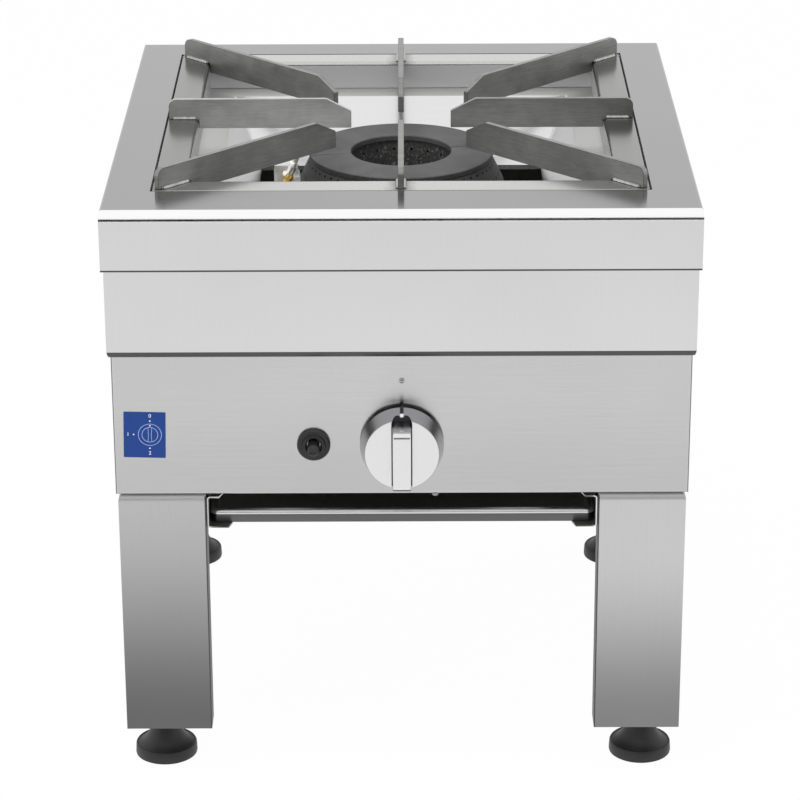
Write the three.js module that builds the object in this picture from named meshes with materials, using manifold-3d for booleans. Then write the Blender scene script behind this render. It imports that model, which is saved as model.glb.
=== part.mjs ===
// Stock pot range: a stainless-steel casing on four legs with one cast-iron ring burner, a lift-out pan
// support, a drip tray on runners, a push-and-turn gas tap and a push-button igniter.
//
// Millimetres, +Z up from the floor. While the pieces are made, X = 0 is the middle, Y = 0 is the front
// of the worktop's skirt and +Y points to the back. The whole group then moves so that its origin lies
// on the floor, halfway between the grip of the knob and the end of the gas inlet.

import * as THREE from 'three';
import { mergeVertices } from 'three/addons/utils/BufferGeometryUtils.js';
import Module from 'manifold-3d';

const wasm = await Module();
wasm.setup();

// ---------------------------------------------------------------- driving dimensions

const width = 580;
const depth = 600;
const height = 610;
const sheet = 1.5; // stainless sheet of the worktop, casing, pan and runners
const seat = 0.3; // clearance where one piece lies against another
const running = 0.5; // clearance of a piece that slides or turns

const worktop = { skirt: 60, noseRadius: 8, edgeRadius: 3, sideBorder: 45, frontBorder: 66, backBorder: 44 };

const apron = { inset: 2.5, height: 91, lip: 5, flange: 18 };

const body = { inset: 5.5, recess: 10, height: 147, overlap: 20, flange: 28, bend: 3 };

const leg = { inset: 7.5, recess: 12, size: 87, sheet: 2, returns: 30, bend: 8, plate: 3 };

const foot = {
  diameter: 64, rim: 12.4, height: 49.5, neck: 24, fromSide: 36, fromEnd: 45, stud: 10, studLength: 38,
};

const runner = {
  drop: 9, height: 34, lowerFlange: 25, upperFlange: 16, front: 25, cutAcross: 4, cutAlong: 11,
};

const tray = { front: 30, back: 560, height: 15, rim: 5, corner: 3 };

const pan = {
  ledge: 30, sideLedge: 60.5, endLedge: 60, wellWidth: 304, wellDepth: 230, wellDrop: 59, lip: 5, hem: 12,
};

const support = { border: 2, strip: 31.5, plate: 3, bend: 4 };

const bar = {
  thickness: 6, above: 21, below: 10, endRadius: 8, reach: 52, cornerReach: 97.5,
  chamferLength: 26, chamferDrop: 13.4, weld: 3,
};

const burner = {
  drop: 35.5, capThickness: 6, capOuter: 193, capInner: 105, seam: 11, seamGap: 0.6, outer: 216, flare: 26.5,
  wall: 5, ringHeight: 2, bowlHeight: 70, floor: 5, throat: 96, innerTop: 110, innerHeight: 48,
  ports: 36, portDiameter: 3, upperRow: 4, lowerRow: 16, innerPorts: 16, innerRow: 9.5,
  footSpread: 62, footSize: 14, footHeight: 15,
};

const rail = { width: 40, plate: 3, tab: 40, spread: 70 };

const mixer = { bore: 26, wall: 4, length: 68, mouth: 56, bell: 24, socket: 12, axisAboveFloor: 20 };

const injector = { body: 14, tip: 8, length: 40, tipLength: 11, hex: 19, hexLength: 10, intoMouth: 6 };

const shutter = { diameter: 58, plate: 2, rim: 9, stand: 12 };

const knob = {
  aboveBottom: 54, standOff: 6, push: 5, rear: 83, face: 73, skirt: 22, channel: 20.5, channelDepth: 9,
  cavity: 9, wall: 3, hub: 18, hubLength: 8, ribWidth: 4, ribHeight: 1.6, gripWidth: 18, gripLength: 62,
  gripProud: 23, gripRadius: 6, spindle: 8, spindleFlat: 2.6, spindleLength: 52,
};

const valve = { width: 34, depth: 46, height: 40, neck: 20, neckLength: 6, boss: 18, bossLength: 10 };

const collar = { diameter: 15, thickness: 2, room: 9 };

const igniter = {
  offset: 87, bezel: 33, bezelDepth: 4.7, step: 24, stepDepth: 2.2, barrel: 18, barrelLength: 44,
  button: 12, proud: 19, buttonLength: 46, nut: 28, nutDepth: 6,
};

const stud = { aboveBottom: 121, head: 5, proud: 1.6, shank: 3, length: 8 };

const pilot = {
  left: 117.5, ahead: 65, plateWidth: 27, plateHeight: 58, abovePlate: 4, shelfDrop: 24, shelf: 24,
  tongue: 14, ceramic: 8, ceramicBack: 9, ceramicLength: 52, ceramicBelow: 18, base: 10, collar: 14,
  collarLow: 11, collarHigh: 17, electrode: 2.4, nut: 11, nutHeight: 14, sensor: 5, sensorBelow: 10,
};

const pipe = { diameter: 12, bend: 18 };

const supply = { diameter: 10, bend: 14 };

const lead = { diameter: 3.6, bend: 24, step: 12 };

const inlet = { offset: 150, bore: 15, outer: 21, hex: 27, hexLength: 12, proud: 44, inside: 16 };

const arcSteps = 4; // straight steps in a quarter of a bend
const sides = { large: 36, medium: 20, small: 12, port: 5 }; // straight sides of a turned piece

// ---------------------------------------------------------------- heights and places that follow

const worktopUnder = height - sheet;
const skirtBottom = height - worktop.skirt;
const apronBottom = skirtBottom - apron.height;
const bodyBottom = apronBottom - body.height;
const bodyTop = apronBottom + body.overlap;
const panelFace = body.recess;
const backFace = depth - body.recess;
const recessWidth = width - 2 * worktop.sideBorder;
const recessDepth = depth - worktop.frontBorder - worktop.backBorder;
const recessHalf = Math.min(recessWidth, recessDepth) / 2;
const ledgeTop = height - pan.ledge;
const wellBottom = ledgeTop - pan.wellDrop;
const legTop = bodyBottom - seat;
const legBottom = foot.height;
const capTop = height - burner.drop;
const capBottom = capTop - burner.capThickness;
const ringTop = capBottom - seat;
const ringBottom = ringTop - burner.flare - burner.ringHeight;
const bowlTop = ringBottom - seat;
const bowlBottom = bowlTop - burner.bowlHeight;
const railTop = bowlBottom - burner.footHeight - seat;
const mixerHeight = bowlBottom + mixer.axisAboveFloor;
const knobHeight = bodyBottom + knob.aboveBottom;
const gripFront = panelFace - knob.standOff - knob.skirt - knob.gripProud;
const inletEnd = backFace + inlet.proud;
const centreY = (worktop.frontBorder + depth - worktop.backBorder) / 2;

// ---------------------------------------------------------------- materials

function finish(color, roughness, metalness) {
  return new THREE.MeshStandardMaterial({ color, roughness, metalness });
}

const stainless = finish(0xbfc1c4, 0.34, 0.9);
const brushedBar = finish(0x8d8f92, 0.4, 0.9);
const castIron = finish(0x3b3c3e, 0.85, 0.4);
const polishedKnob = finish(0xd9dadc, 0.18, 0.95);
const blackPlastic = finish(0x1b1b1d, 0.5, 0);
const brass = finish(0xc9a14a, 0.3, 0.9);
const aluminium = finish(0xa9acb0, 0.45, 0.85);
const ceramic = finish(0xf1efe9, 0.4, 0);
const steelPipe = finish(0x9b9da0, 0.35, 0.9);
const leadJacket = finish(0x2a2a2c, 0.6, 0);

// ---------------------------------------------------------------- shapes

const alongAxis = {
  x: new THREE.Vector3(1, 0, 0),
  y: new THREE.Vector3(0, 1, 0),
  z: new THREE.Vector3(0, 0, 1),
  front: new THREE.Vector3(0, -1, 0),
};

// Takes three.js's cylinder and sphere coordinates, whose pole is +Y, to a pole along +Z.
const uprightZ = new THREE.Matrix4().makeBasis(alongAxis.y, alongAxis.z, alongAxis.x);

// Turns a geometry into a solid: shared vertices merged, empty triangles dropped, faces pointing out.
function solid(geometry) {
  const bare = geometry.clone();
  bare.deleteAttribute('normal');
  bare.deleteAttribute('uv');
  const merged = mergeVertices(bare, 1e-4);
  const vertProperties = Float32Array.from(merged.attributes.position.array);
  const corners = merged.index.array;
  const kept = [];
  let volume = 0;
  for (let i = 0; i < corners.length; i += 3) {
    const [a, b, c] = [corners[i], corners[i + 1], corners[i + 2]];
    if (a === b || b === c || c === a) continue;
    kept.push([a, b, c]);
    const [p, q, r] = [a, b, c].map((n) => new THREE.Vector3().fromArray(vertProperties, 3 * n));
    volume += p.dot(q.cross(r));
  }
  const triVerts = Uint32Array.from(kept.flatMap(([a, b, c]) => (volume < 0 ? [a, c, b] : [a, b, c])));
  return new wasm.Manifold(new wasm.Mesh({ numProp: 3, vertProperties, triVerts }));
}

function geometryOf(form) {
  const mesh = form.getMesh();
  const geometry = new THREE.BufferGeometry();
  geometry.setAttribute('position', new THREE.BufferAttribute(mesh.vertProperties, mesh.numProp));
  geometry.setIndex(new THREE.BufferAttribute(mesh.triVerts, 1));
  geometry.computeVertexNormals();
  return geometry;
}

// The points of a true arc that rounds one corner.
function roundCorner(before, corner, after, radius) {
  const back = before.clone().sub(corner).normalize();
  const on = after.clone().sub(corner).normalize();
  const half = Math.acos(back.dot(on)) / 2;
  const toCentre = back.clone().add(on).normalize();
  const centre = corner.clone().addScaledVector(toCentre, radius / Math.sin(half));
  const start = corner.clone().addScaledVector(back, radius / Math.tan(half));
  const turn = start.clone().sub(centre).cross(back) < 0 ? 1 : -1;
  const sweep = turn * (Math.PI - 2 * half);
  const steps = Math.max(1, Math.round((arcSteps * Math.abs(sweep)) / (Math.PI / 2)));
  return Array.from({ length: steps + 1 }, (_, k) => start.clone().rotateAround(centre, (sweep * k) / steps));
}

// A line of corners [u, v, radius]. A corner with a radius becomes an arc.
function rounded(corners, closed) {
  const points = corners.map(([u, v]) => new THREE.Vector2(u, v));
  const last = points.length - 1;
  return points.flatMap((point, i) => {
    const radius = corners[i][2] ?? 0;
    if (radius <= 0 || (!closed && (i === 0 || i === last))) return [point];
    return roundCorner(points.at(i - 1), point, points[(i + 1) % points.length], radius);
  });
}

const outline = (corners) => rounded(corners, true);

// The outline of a bent sheet: the given line is one face, the other lies to its left.
function bentSheet(corners, thickness) {
  const face = rounded(corners, false);
  const normals = face.slice(1).map((point, i) => {
    const run = point.clone().sub(face[i]).normalize();
    return new THREE.Vector2(-run.y, run.x);
  });
  const other = face.map((point, i) => {
    const first = normals[Math.max(i - 1, 0)];
    const second = normals[Math.min(i, normals.length - 1)];
    const mitre = first.clone().add(second).divideScalar(1 + first.dot(second));
    return point.clone().addScaledVector(mitre, thickness);
  });
  return [...face, ...other.reverse()];
}

function prism(points, length) {
  return new THREE.ExtrudeGeometry(new THREE.Shape(points), { depth: length, bevelEnabled: false });
}

// Outlines in (y, z), (x, z) and (x, y), carried along the third axis.
function alongX(points, from, to) {
  const turned = new THREE.Matrix4().makeBasis(alongAxis.y, alongAxis.z, alongAxis.x);
  return solid(prism(points, to - from).applyMatrix4(turned).translate(from, 0, 0));
}

function alongY(points, from, to) {
  return solid(prism(points, to - from).rotateX(Math.PI / 2).translate(0, to, 0));
}

function alongZ(points, from, to) {
  return solid(prism(points, to - from).translate(0, 0, from));
}

function block([x0, x1], [y0, y1], [z0, z1]) {
  const geometry = new THREE.BoxGeometry(x1 - x0, y1 - y0, z1 - z0);
  return solid(geometry.translate((x0 + x1) / 2, (y0 + y1) / 2, (z0 + z1) / 2));
}

// A turned piece: [radius, length] pairs around an axis that starts at a point.
function turned(profile, sides, origin, axis) {
  const geometry = new THREE.LatheGeometry(profile.map(([r, l]) => new THREE.Vector2(r, l)), sides);
  const turn = new THREE.Quaternion().setFromUnitVectors(alongAxis.y, axis);
  return solid(geometry.applyQuaternion(turn).translate(...origin));
}

function rod(diameter, length, sides, origin, axis) {
  const r = diameter / 2;
  return turned([[0, 0], [r, 0], [r, length], [0, length]], sides, origin, axis);
}

// One rectangle of a loft, with corners rounded when a radius is given.
function rectangle({ half, front, back, z, corner = 0 }) {
  const steps = corner > 0 ? arcSteps : 0;
  const centres = [
    [half - corner, back - corner], [corner - half, back - corner],
    [corner - half, front + corner], [half - corner, front + corner],
  ];
  return centres.flatMap(([x, y], quarter) => Array.from({ length: steps + 1 }, (_, k) => {
    const angle = (quarter + (steps ? k / steps : 0)) * (Math.PI / 2);
    return new THREE.Vector3(x + corner * Math.cos(angle), y + corner * Math.sin(angle), z);
  }));
}

// A skin through rectangles. A loop joins the last one to the first; otherwise both ends are closed.
function loft(sections, loop) {
  const rings = sections.map(rectangle);
  const count = rings[0].length;
  const faces = [];
  const spans = loop ? rings.length : rings.length - 1;
  for (let i = 0; i < spans; i += 1) {
    const [a, b] = [i * count, ((i + 1) % rings.length) * count];
    for (let j = 0; j < count; j += 1) {
      const k = (j + 1) % count;
      faces.push(a + j, a + k, b + k, a + j, b + k, b + j);
    }
  }
  if (!loop) {
    const end = (rings.length - 1) * count;
    for (let j = 1; j < count - 1; j += 1) faces.push(0, j + 1, j, end, end + j, end + j + 1);
  }
  const geometry = new THREE.BufferGeometry().setFromPoints(rings.flat());
  geometry.setIndex(faces);
  return solid(geometry);
}

// A route of straight runs with bends of one radius.
function route(points, bend) {
  const path = new THREE.CurvePath();
  let start = new THREE.Vector3(...points[0]);
  for (let i = 1; i < points.length - 1; i += 1) {
    const corner = new THREE.Vector3(...points[i]);
    const into = corner.clone().sub(start).setLength(bend);
    const out = new THREE.Vector3(...points[i + 1]).sub(corner).setLength(bend);
    const [from, to] = [corner.clone().sub(into), corner.clone().add(out)];
    path.add(new THREE.LineCurve3(start, from));
    path.add(new THREE.QuadraticBezierCurve3(from, corner, to));
    start = to;
  }
  path.add(new THREE.LineCurve3(start, new THREE.Vector3(...points.at(-1))));
  return path;
}

function tube(points, diameter, bend, stepLength) {
  const path = route(points, bend);
  const steps = Math.round(path.getLength() / stepLength);
  const section = new THREE.Shape().absarc(0, 0, diameter / 2, 0, 2 * Math.PI);
  const ring = new THREE.Shape(section.getPoints(2).slice(0, 8));
  return solid(new THREE.ExtrudeGeometry(ring, { steps, extrudePath: path, bevelEnabled: false }));
}

function regular(sides, acrossFlats) {
  const radius = acrossFlats / 2 / Math.cos(Math.PI / sides);
  return Array.from({ length: sides }, (_, k) => {
    const angle = ((k + 0.5) * 2 * Math.PI) / sides;
    return new THREE.Vector2(radius * Math.cos(angle), radius * Math.sin(angle));
  });
}

// A prism of an outline around an axis that points to the front or the back.
function frontPrism(points, origin, length) {
  const placed = points.map((p) => new THREE.Vector2(p.x + origin[0], p.y + origin[2]));
  return alongY(placed, origin[1], origin[1] + length);
}

const range = new THREE.Group();

function add(parent, name, shape, material) {
  const mesh = new THREE.Mesh(geometryOf(shape), material);
  mesh.name = name;
  parent.add(mesh);
}

// ---------------------------------------------------------------- worktop and casing

// The worktop's folded form: a large nose at the front, small bends at the sides and back.
function hood(inset, top, bottom) {
  const half = width / 2 - inset;
  const nose = worktop.noseRadius - inset;
  const edge = worktop.edgeRadius - inset;
  const fromSide = outline([
    [inset, bottom], [depth - inset, bottom], [depth - inset, top, edge], [inset, top, nose],
  ]);
  const fromFront = outline([[-half, bottom], [half, bottom], [half, top, edge], [-half, top, edge]]);
  return alongX(fromSide, -half, half).intersect(alongY(fromFront, inset, depth - inset));
}

function makeWorktop() {
  const opening = block(
    [-recessHalf, recessHalf],
    [centreY - recessHalf, centreY + recessHalf],
    [worktopUnder - sheet, height + sheet],
  );
  return hood(0, height, skirtBottom)
    .subtract(hood(sheet, worktopUnder, skirtBottom - sheet))
    .subtract(opening);
}

// The upper casing's apron: a flange under the worktop, four walls, and a lower edge that rolls in to
// meet the narrower body.
function makeApron() {
  const top = worktopUnder - seat;
  const shoulder = height - worktop.noseRadius;
  const inner = apron.inset + sheet;
  const bendInset = worktop.noseRadius;
  const sideLip = body.inset - seat;
  const frontLip = body.recess - seat;
  const band = (side, front, z) => ({ half: width / 2 - side, front, back: depth - front, z });
  const even = (inset, z) => band(inset, inset, z);
  const quarter = Array.from({ length: arcSteps + 1 }, (_, k) => ((k / arcSteps) * Math.PI) / 2);
  const upperBend = quarter.map((angle) => even(
    THREE.MathUtils.lerp(bendInset, apron.inset, Math.sin(angle)),
    THREE.MathUtils.lerp(shoulder, top, Math.cos(angle)),
  ));
  const lowerBend = quarter.map((angle) => band(
    THREE.MathUtils.lerp(sideLip, apron.inset, Math.cos(angle)),
    THREE.MathUtils.lerp(frontLip, apron.inset, Math.cos(angle)),
    apronBottom + apron.lip * (1 - Math.sin(angle)),
  ));
  return loft([
    even(apron.inset + apron.flange, top),
    ...upperBend,
    ...lowerBend,
    band(sideLip, frontLip, apronBottom + sheet),
    even(inner, apronBottom + apron.lip),
    even(inner, shoulder),
    even(bendInset + 1, top - sheet),
    even(apron.inset + apron.flange, top - sheet),
  ], true);
}

// The front and back of the body: a face with a return at each side and a flange below.
function foldedPanel(face, inward, holes) {
  const half = width / 2 - body.inset;
  const shell = (offset) => {
    const [near, far] = [face + inward * offset, face + inward * (body.flange + offset)];
    const low = bodyBottom + offset;
    const bend = body.bend - offset;
    const high = bodyTop + offset;
    const fromSide = outline([[near, low, bend], [far, low], [far, high], [near, high]]);
    const edge = half - offset;
    const fromAbove = outline([[-edge, near, bend], [edge, near, bend], [edge, far], [-edge, far]]);
    return alongX(fromSide, -edge, edge).intersect(alongZ(fromAbove, low, high));
  };
  return holes.reduce((panel, hole) => panel.subtract(hole), shell(0).subtract(shell(sheet)));
}

function panelHole(diameter, x, z) {
  return rod(diameter + 2 * seat, 4 * sheet, sides.medium, [x, panelFace + 2 * sheet, z], alongAxis.front);
}

function makeControlPanel() {
  return foldedPanel(panelFace, 1, [
    panelHole(knob.spindle + 4, 0, knobHeight),
    panelHole(igniter.barrel, -igniter.offset, knobHeight),
    panelHole(stud.shank, 0, bodyBottom + stud.aboveBottom),
  ]);
}

function makeBackPanel() {
  const holeAt = [inlet.offset, backFace - 2 * sheet, knobHeight];
  const hole = rod(inlet.outer + 2 * seat, 4 * sheet, sides.medium, holeAt, alongAxis.y);
  return foldedPanel(backFace, -1, [hole]);
}

function makeSidePanel(side) {
  const face = side * (width / 2 - body.inset);
  const corners = [
    [face, bodyTop], [face, bodyBottom, body.bend], [face - side * body.flange, bodyBottom],
  ];
  const path = side > 0 ? corners.reverse() : corners;
  const ends = body.recess + body.flange + seat;
  return alongY(bentSheet(path, sheet), ends, depth - ends);
}

add(range, 'worktop', makeWorktop(), stainless);
add(range, 'upper_casing', makeApron(), stainless);
add(range, 'control_panel', makeControlPanel(), stainless);
add(range, 'back_panel', makeBackPanel(), stainless);
add(range, 'side_panel_left', makeSidePanel(-1), stainless);
add(range, 'side_panel_right', makeSidePanel(1), stainless);

// ---------------------------------------------------------------- spill pan

// A pressed pan: hem, wall, level ledge, sloping sides and a rectangular well around the burner.
function makeSpillPan() {
  const ring = (halfX, halfY, z) => ({ half: halfX, front: centreY - halfY, back: centreY + halfY, z });
  const square = (half, z) => ring(half, half, z);
  const top = worktopUnder - seat;
  const [creaseX, creaseY] = [recessHalf - pan.sideLedge, recessHalf - pan.endLedge];
  const [wellX, wellY] = [pan.wellWidth / 2, pan.wellDepth / 2];
  return loft([
    square(recessHalf + pan.hem, top),
    square(recessHalf, top),
    square(recessHalf, ledgeTop),
    ring(creaseX, creaseY, ledgeTop),
    ring(wellX, wellY, wellBottom),
    ring(wellX, wellY, wellBottom - pan.lip),
    ring(wellX + sheet, wellY + sheet, wellBottom - pan.lip),
    ring(wellX + sheet, wellY + sheet, wellBottom - sheet / 2),
    ring(creaseX + sheet / 2, creaseY + sheet / 2, ledgeTop - sheet),
    square(recessHalf + sheet, ledgeTop - sheet),
    square(recessHalf + sheet, top - sheet),
    square(recessHalf + pan.hem, top - sheet),
  ], true);
}

add(range, 'spill_pan', makeSpillPan(), stainless);

// ---------------------------------------------------------------- legs, feet, runners and drip tray

const legInner = width / 2 - leg.inset - leg.size;

// A leg is a folded square shell, open at its inner corner, with a flange on top. The plate for the foot
// spans the outer corner and ends on a slant from one return to the other.
function makeLeg(side, end) {
  const x = (u) => side * (width / 2 - leg.inset - u);
  const y = (v) => (end < 0 ? leg.recess + v : depth - leg.recess - v);
  const span = (place, from, to) => [place(from), place(to)].sort((a, b) => a - b);
  const shell = (offset, low) => {
    const high = legTop - offset;
    const bend = leg.bend - offset;
    const far = leg.size - offset;
    const faceX = outline([[x(offset), low], [x(offset), high, bend], [x(far), high], [x(far), low]]);
    const faceY = outline([[y(offset), low], [y(offset), high, bend], [y(far), high], [y(far), low]]);
    const acrossY = span(y, offset, far);
    const acrossX = span(x, offset, far);
    return alongY(faceX, ...acrossY).intersect(alongX(faceY, ...acrossX));
  };
  const openCorner = block(
    span(x, leg.returns, leg.size + 1),
    span(y, leg.returns, leg.size + 1),
    [legBottom + leg.plate, legTop - leg.sheet],
  );
  const studAt = [x(foot.fromSide), y(foot.fromEnd), legBottom - leg.plate];
  const studHole = rod(foot.stud + 2 * seat, 3 * leg.plate, sides.small, studAt, alongAxis.z);
  const beyond = leg.size + 1;
  const plateCorner = alongZ(outline([
    [x(beyond), y(leg.returns)], [x(beyond), y(beyond)], [x(leg.returns), y(beyond)],
  ]), legBottom - 1, legTop - leg.sheet);
  return shell(0, legBottom)
    .subtract(shell(leg.sheet, legBottom + leg.plate))
    .subtract(openCorner)
    .subtract(plateCorner)
    .subtract(studHole);
}

// An adjustable foot: a domed pad, a neck that meets the leg's plate and a stud that screws into it.
function makeFoot(side, end) {
  const r = foot.diameter / 2;
  const neck = foot.neck / 2;
  const stud = foot.stud / 2;
  const top = foot.height - seat;
  const centre = [
    side * (width / 2 - leg.inset - foot.fromSide),
    end < 0 ? leg.recess + foot.fromEnd : depth - leg.recess - foot.fromEnd,
    0,
  ];
  const profile = [
    [0, 0], [r - 1.5, 0], [r, 1.5], [r - 0.6, foot.rim - 1.2], [r - 1.8, foot.rim], [r - 8, foot.rim + 4.5],
    [neck + 3, foot.rim + 11], [neck, foot.rim + 17], [neck, top], [stud, top],
    [stud, foot.height + foot.studLength], [0, foot.height + foot.studLength],
  ];
  return turned(profile, sides.medium, centre, alongAxis.z);
}

for (const [end, endName] of [[-1, 'front'], [1, 'rear']]) {
  for (const [side, sideName] of [[-1, 'left'], [1, 'right']]) {
    add(range, `leg_${endName}_${sideName}`, makeLeg(side, end), stainless);
    add(range, `foot_${endName}_${sideName}`, makeFoot(side, end), blackPlastic);
  }
}

// A channel screwed to the two legs of its side. Its flanges face the tray; their corners are cut back.
function makeRunner(side) {
  const web = side * (legInner - seat);
  const top = bodyBottom - runner.drop;
  const bottom = top - runner.height;
  const corners = [
    [web - side * runner.upperFlange, top], [web, top, body.bend], [web, bottom, body.bend],
    [web - side * runner.lowerFlange, bottom],
  ];
  const path = side > 0 ? corners.reverse() : corners;
  const [front, back] = [runner.front, depth - runner.front];
  const channel = alongY(bentSheet(path, sheet), front, back);
  const middle = (top + bottom) / 2;
  const slant = (flange, low, high) => {
    const start = web - side * (flange - runner.cutAcross);
    const tip = web - side * (flange + runner.cutAcross);
    const reach = 2 * runner.cutAlong;
    return alongZ(outline([
      [web + side, front], [web + side, back], [start, back], [tip, back - reach], [tip, front + reach],
      [start, front],
    ]), low, high);
  };
  const lower = slant(runner.lowerFlange, bottom - 1, middle);
  return channel.intersect(lower.add(slant(runner.upperFlange, middle, top + 1)));
}

add(range, 'tray_runner_left', makeRunner(-1), stainless);
add(range, 'tray_runner_right', makeRunner(1), stainless);

// A shallow tray with a flat rim, lying on the runners' lower flanges.
function makeTray() {
  const outer = legInner - seat - sheet - running;
  const inner = outer - tray.rim;
  const floor = bodyBottom - runner.drop - runner.height + sheet + seat;
  const top = floor + tray.height;
  const level = (half, z, corner) => ({
    half, front: tray.front + outer - half, back: tray.back - outer + half, z, corner,
  });
  return loft([
    level(inner, floor, tray.corner),
    level(inner, top - sheet, tray.corner),
    level(outer, top - sheet, tray.corner + tray.rim),
    level(outer, top, tray.corner + tray.rim),
    level(inner - sheet, top, tray.corner - sheet),
    level(inner - sheet, floor + sheet, tray.corner - sheet),
  ], false);
}

add(range, 'drip_tray', makeTray(), stainless);

// ---------------------------------------------------------------- pan support

const supportHalf = recessHalf - support.border;
const stripInner = supportHalf - support.strip;

// An angle frame: a level strip flush with the worktop and a flange that stands on the pan's ledge.
function makeSupportFrame() {
  const ring = (half, z) => ({ half, front: centreY - half, back: centreY + half, z });
  const corners = rounded([
    [supportHalf, height], [stripInner, height, support.bend], [stripInner, ledgeTop + seat],
    [stripInner + support.plate, ledgeTop + seat], [stripInner + support.plate, height - support.plate],
    [supportHalf, height - support.plate],
  ], true);
  return loft(corners.map((point) => ring(point.x, point.y)), true);
}

// A flat bar on edge, pointing at the burner: notched over the strip, its tip cut down, welded each side.
function makeBar(angle, reach, outerEnd, notch) {
  const top = height + bar.above;
  const underside = height + seat;
  const low = height - bar.below;
  const profile = outline([
    [reach, low], [notch, low], [notch, underside], [outerEnd, underside], [outerEnd, top, bar.endRadius],
    [reach + bar.chamferLength, top], [reach, top - bar.chamferDrop],
  ]);
  const half = bar.thickness / 2;
  const bead = [
    [-half - bar.weld, underside], [half + bar.weld, underside],
    [half, underside + bar.weld], [-half, underside + bar.weld],
  ];
  const blade = alongY(profile, -half, half);
  const welds = alongX(outline(bead), notch + 2, outerEnd - 2);
  const place = new THREE.Matrix4().makeRotationZ(angle).setPosition(0, centreY, 0);
  return solid(geometryOf(blade.add(welds)).applyMatrix4(place));
}

const supportGroup = new THREE.Group();
add(supportGroup, 'pot_support_frame', makeSupportFrame(), brushedBar);

const barNames = ['right', 'rear_right', 'rear', 'rear_left', 'left', 'front_left', 'front', 'front_right'];
barNames.forEach((name, i) => {
  const corner = i % 2 === 1;
  const stretch = corner ? Math.SQRT2 : 1;
  const reach = corner ? bar.cornerReach : bar.reach;
  const outerEnd = supportHalf * stretch - (corner ? bar.thickness : 0.5);
  const notch = stripInner * stretch - (corner ? bar.thickness / 2 : 0) - seat;
  add(supportGroup, `pot_bar_${name}`, makeBar((i * Math.PI) / 4, reach, outerEnd, notch), brushedBar);
});
range.add(supportGroup);

// ---------------------------------------------------------------- burner

const burnerGroup = new THREE.Group();
burnerGroup.position.set(0, centreY, 0);
range.add(burnerGroup);

const burnerOuter = burner.outer / 2;
const ringSeat = burner.capOuter / 2 - 1;

// Half of the flat cap, cut along a diameter.
function makeCapHalf(turn) {
  const [outer, inner] = [burner.capOuter / 2, burner.capInner / 2];
  const arc = (radius) => {
    const skip = Math.asin(burner.seamGap / 2 / radius);
    return [skip, Math.PI - skip];
  };
  const shape = new THREE.Shape();
  shape.absarc(0, 0, outer, ...arc(outer), false);
  const [start, end] = arc(inner);
  shape.absarc(0, 0, inner, end, start, true);
  shape.closePath();
  const geometry = new THREE.ExtrudeGeometry(shape, {
    depth: burner.capThickness, curveSegments: sides.large / 2, bevelEnabled: false,
  });
  return solid(geometry.translate(0, 0, capBottom).rotateZ(turn));
}

// Ports drilled square to a sloping wall, evenly round the burner.
function drill(wall, count, radius, z, slope, turn) {
  const cutters = Array.from({ length: count }, (_, k) => {
    const angle = turn + (k * 2 * Math.PI) / count;
    const out = new THREE.Vector3().setFromSphericalCoords(1, Math.PI / 2 - slope, angle);
    const start = new THREE.Vector3().setFromCylindricalCoords(radius, angle, z);
    out.applyMatrix4(uprightZ);
    start.applyMatrix4(uprightZ).addScaledVector(out, -burner.wall * 2);
    return rod(burner.portDiameter, burner.wall * 4, sides.port, start.toArray(), out);
  });
  return cutters.reduce((drilled, cutter) => drilled.subtract(cutter), wall);
}

// The outer port ring: a steep cone with two rows of ports.
function makeOuterRing() {
  const shoulder = ringTop - burner.flare;
  const inner = burnerOuter - burner.wall;
  const wall = turned([
    [ringSeat, ringTop], [burnerOuter, shoulder], [burnerOuter, ringBottom], [inner, ringBottom],
    [inner, shoulder], [ringSeat - burner.wall, ringTop - 1.5], [ringSeat - burner.wall, ringTop],
    [ringSeat, ringTop],
  ], sides.large, [0, 0, 0], alongAxis.z);
  const slope = Math.atan2(burnerOuter - ringSeat, burner.flare);
  const radiusAt = (below) => THREE.MathUtils.lerp(ringSeat, burnerOuter, below / burner.flare);
  const row = (ring, below, turn) => drill(ring, burner.ports, radiusAt(below), ringTop - below, slope, turn);
  return row(row(wall, burner.upperRow, 0), burner.lowerRow, Math.PI / burner.ports);
}

// The inner port ring: a funnel that narrows downwards, with one row of ports facing the centre.
function makeInnerRing() {
  const low = ringTop - burner.innerHeight;
  const [top, throat] = [burner.innerTop / 2, burner.throat / 2];
  const wall = turned([
    [top, ringTop], [throat, low], [throat + burner.wall, low], [top + burner.wall, ringTop - 4],
    [top + burner.wall, ringTop], [top, ringTop],
  ].reverse(), sides.large, [0, 0, 0], alongAxis.z);
  const radius = THREE.MathUtils.lerp(top, throat, burner.innerRow / burner.innerHeight);
  return drill(wall, burner.innerPorts, radius, ringTop - burner.innerRow, 0, 0);
}

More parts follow.
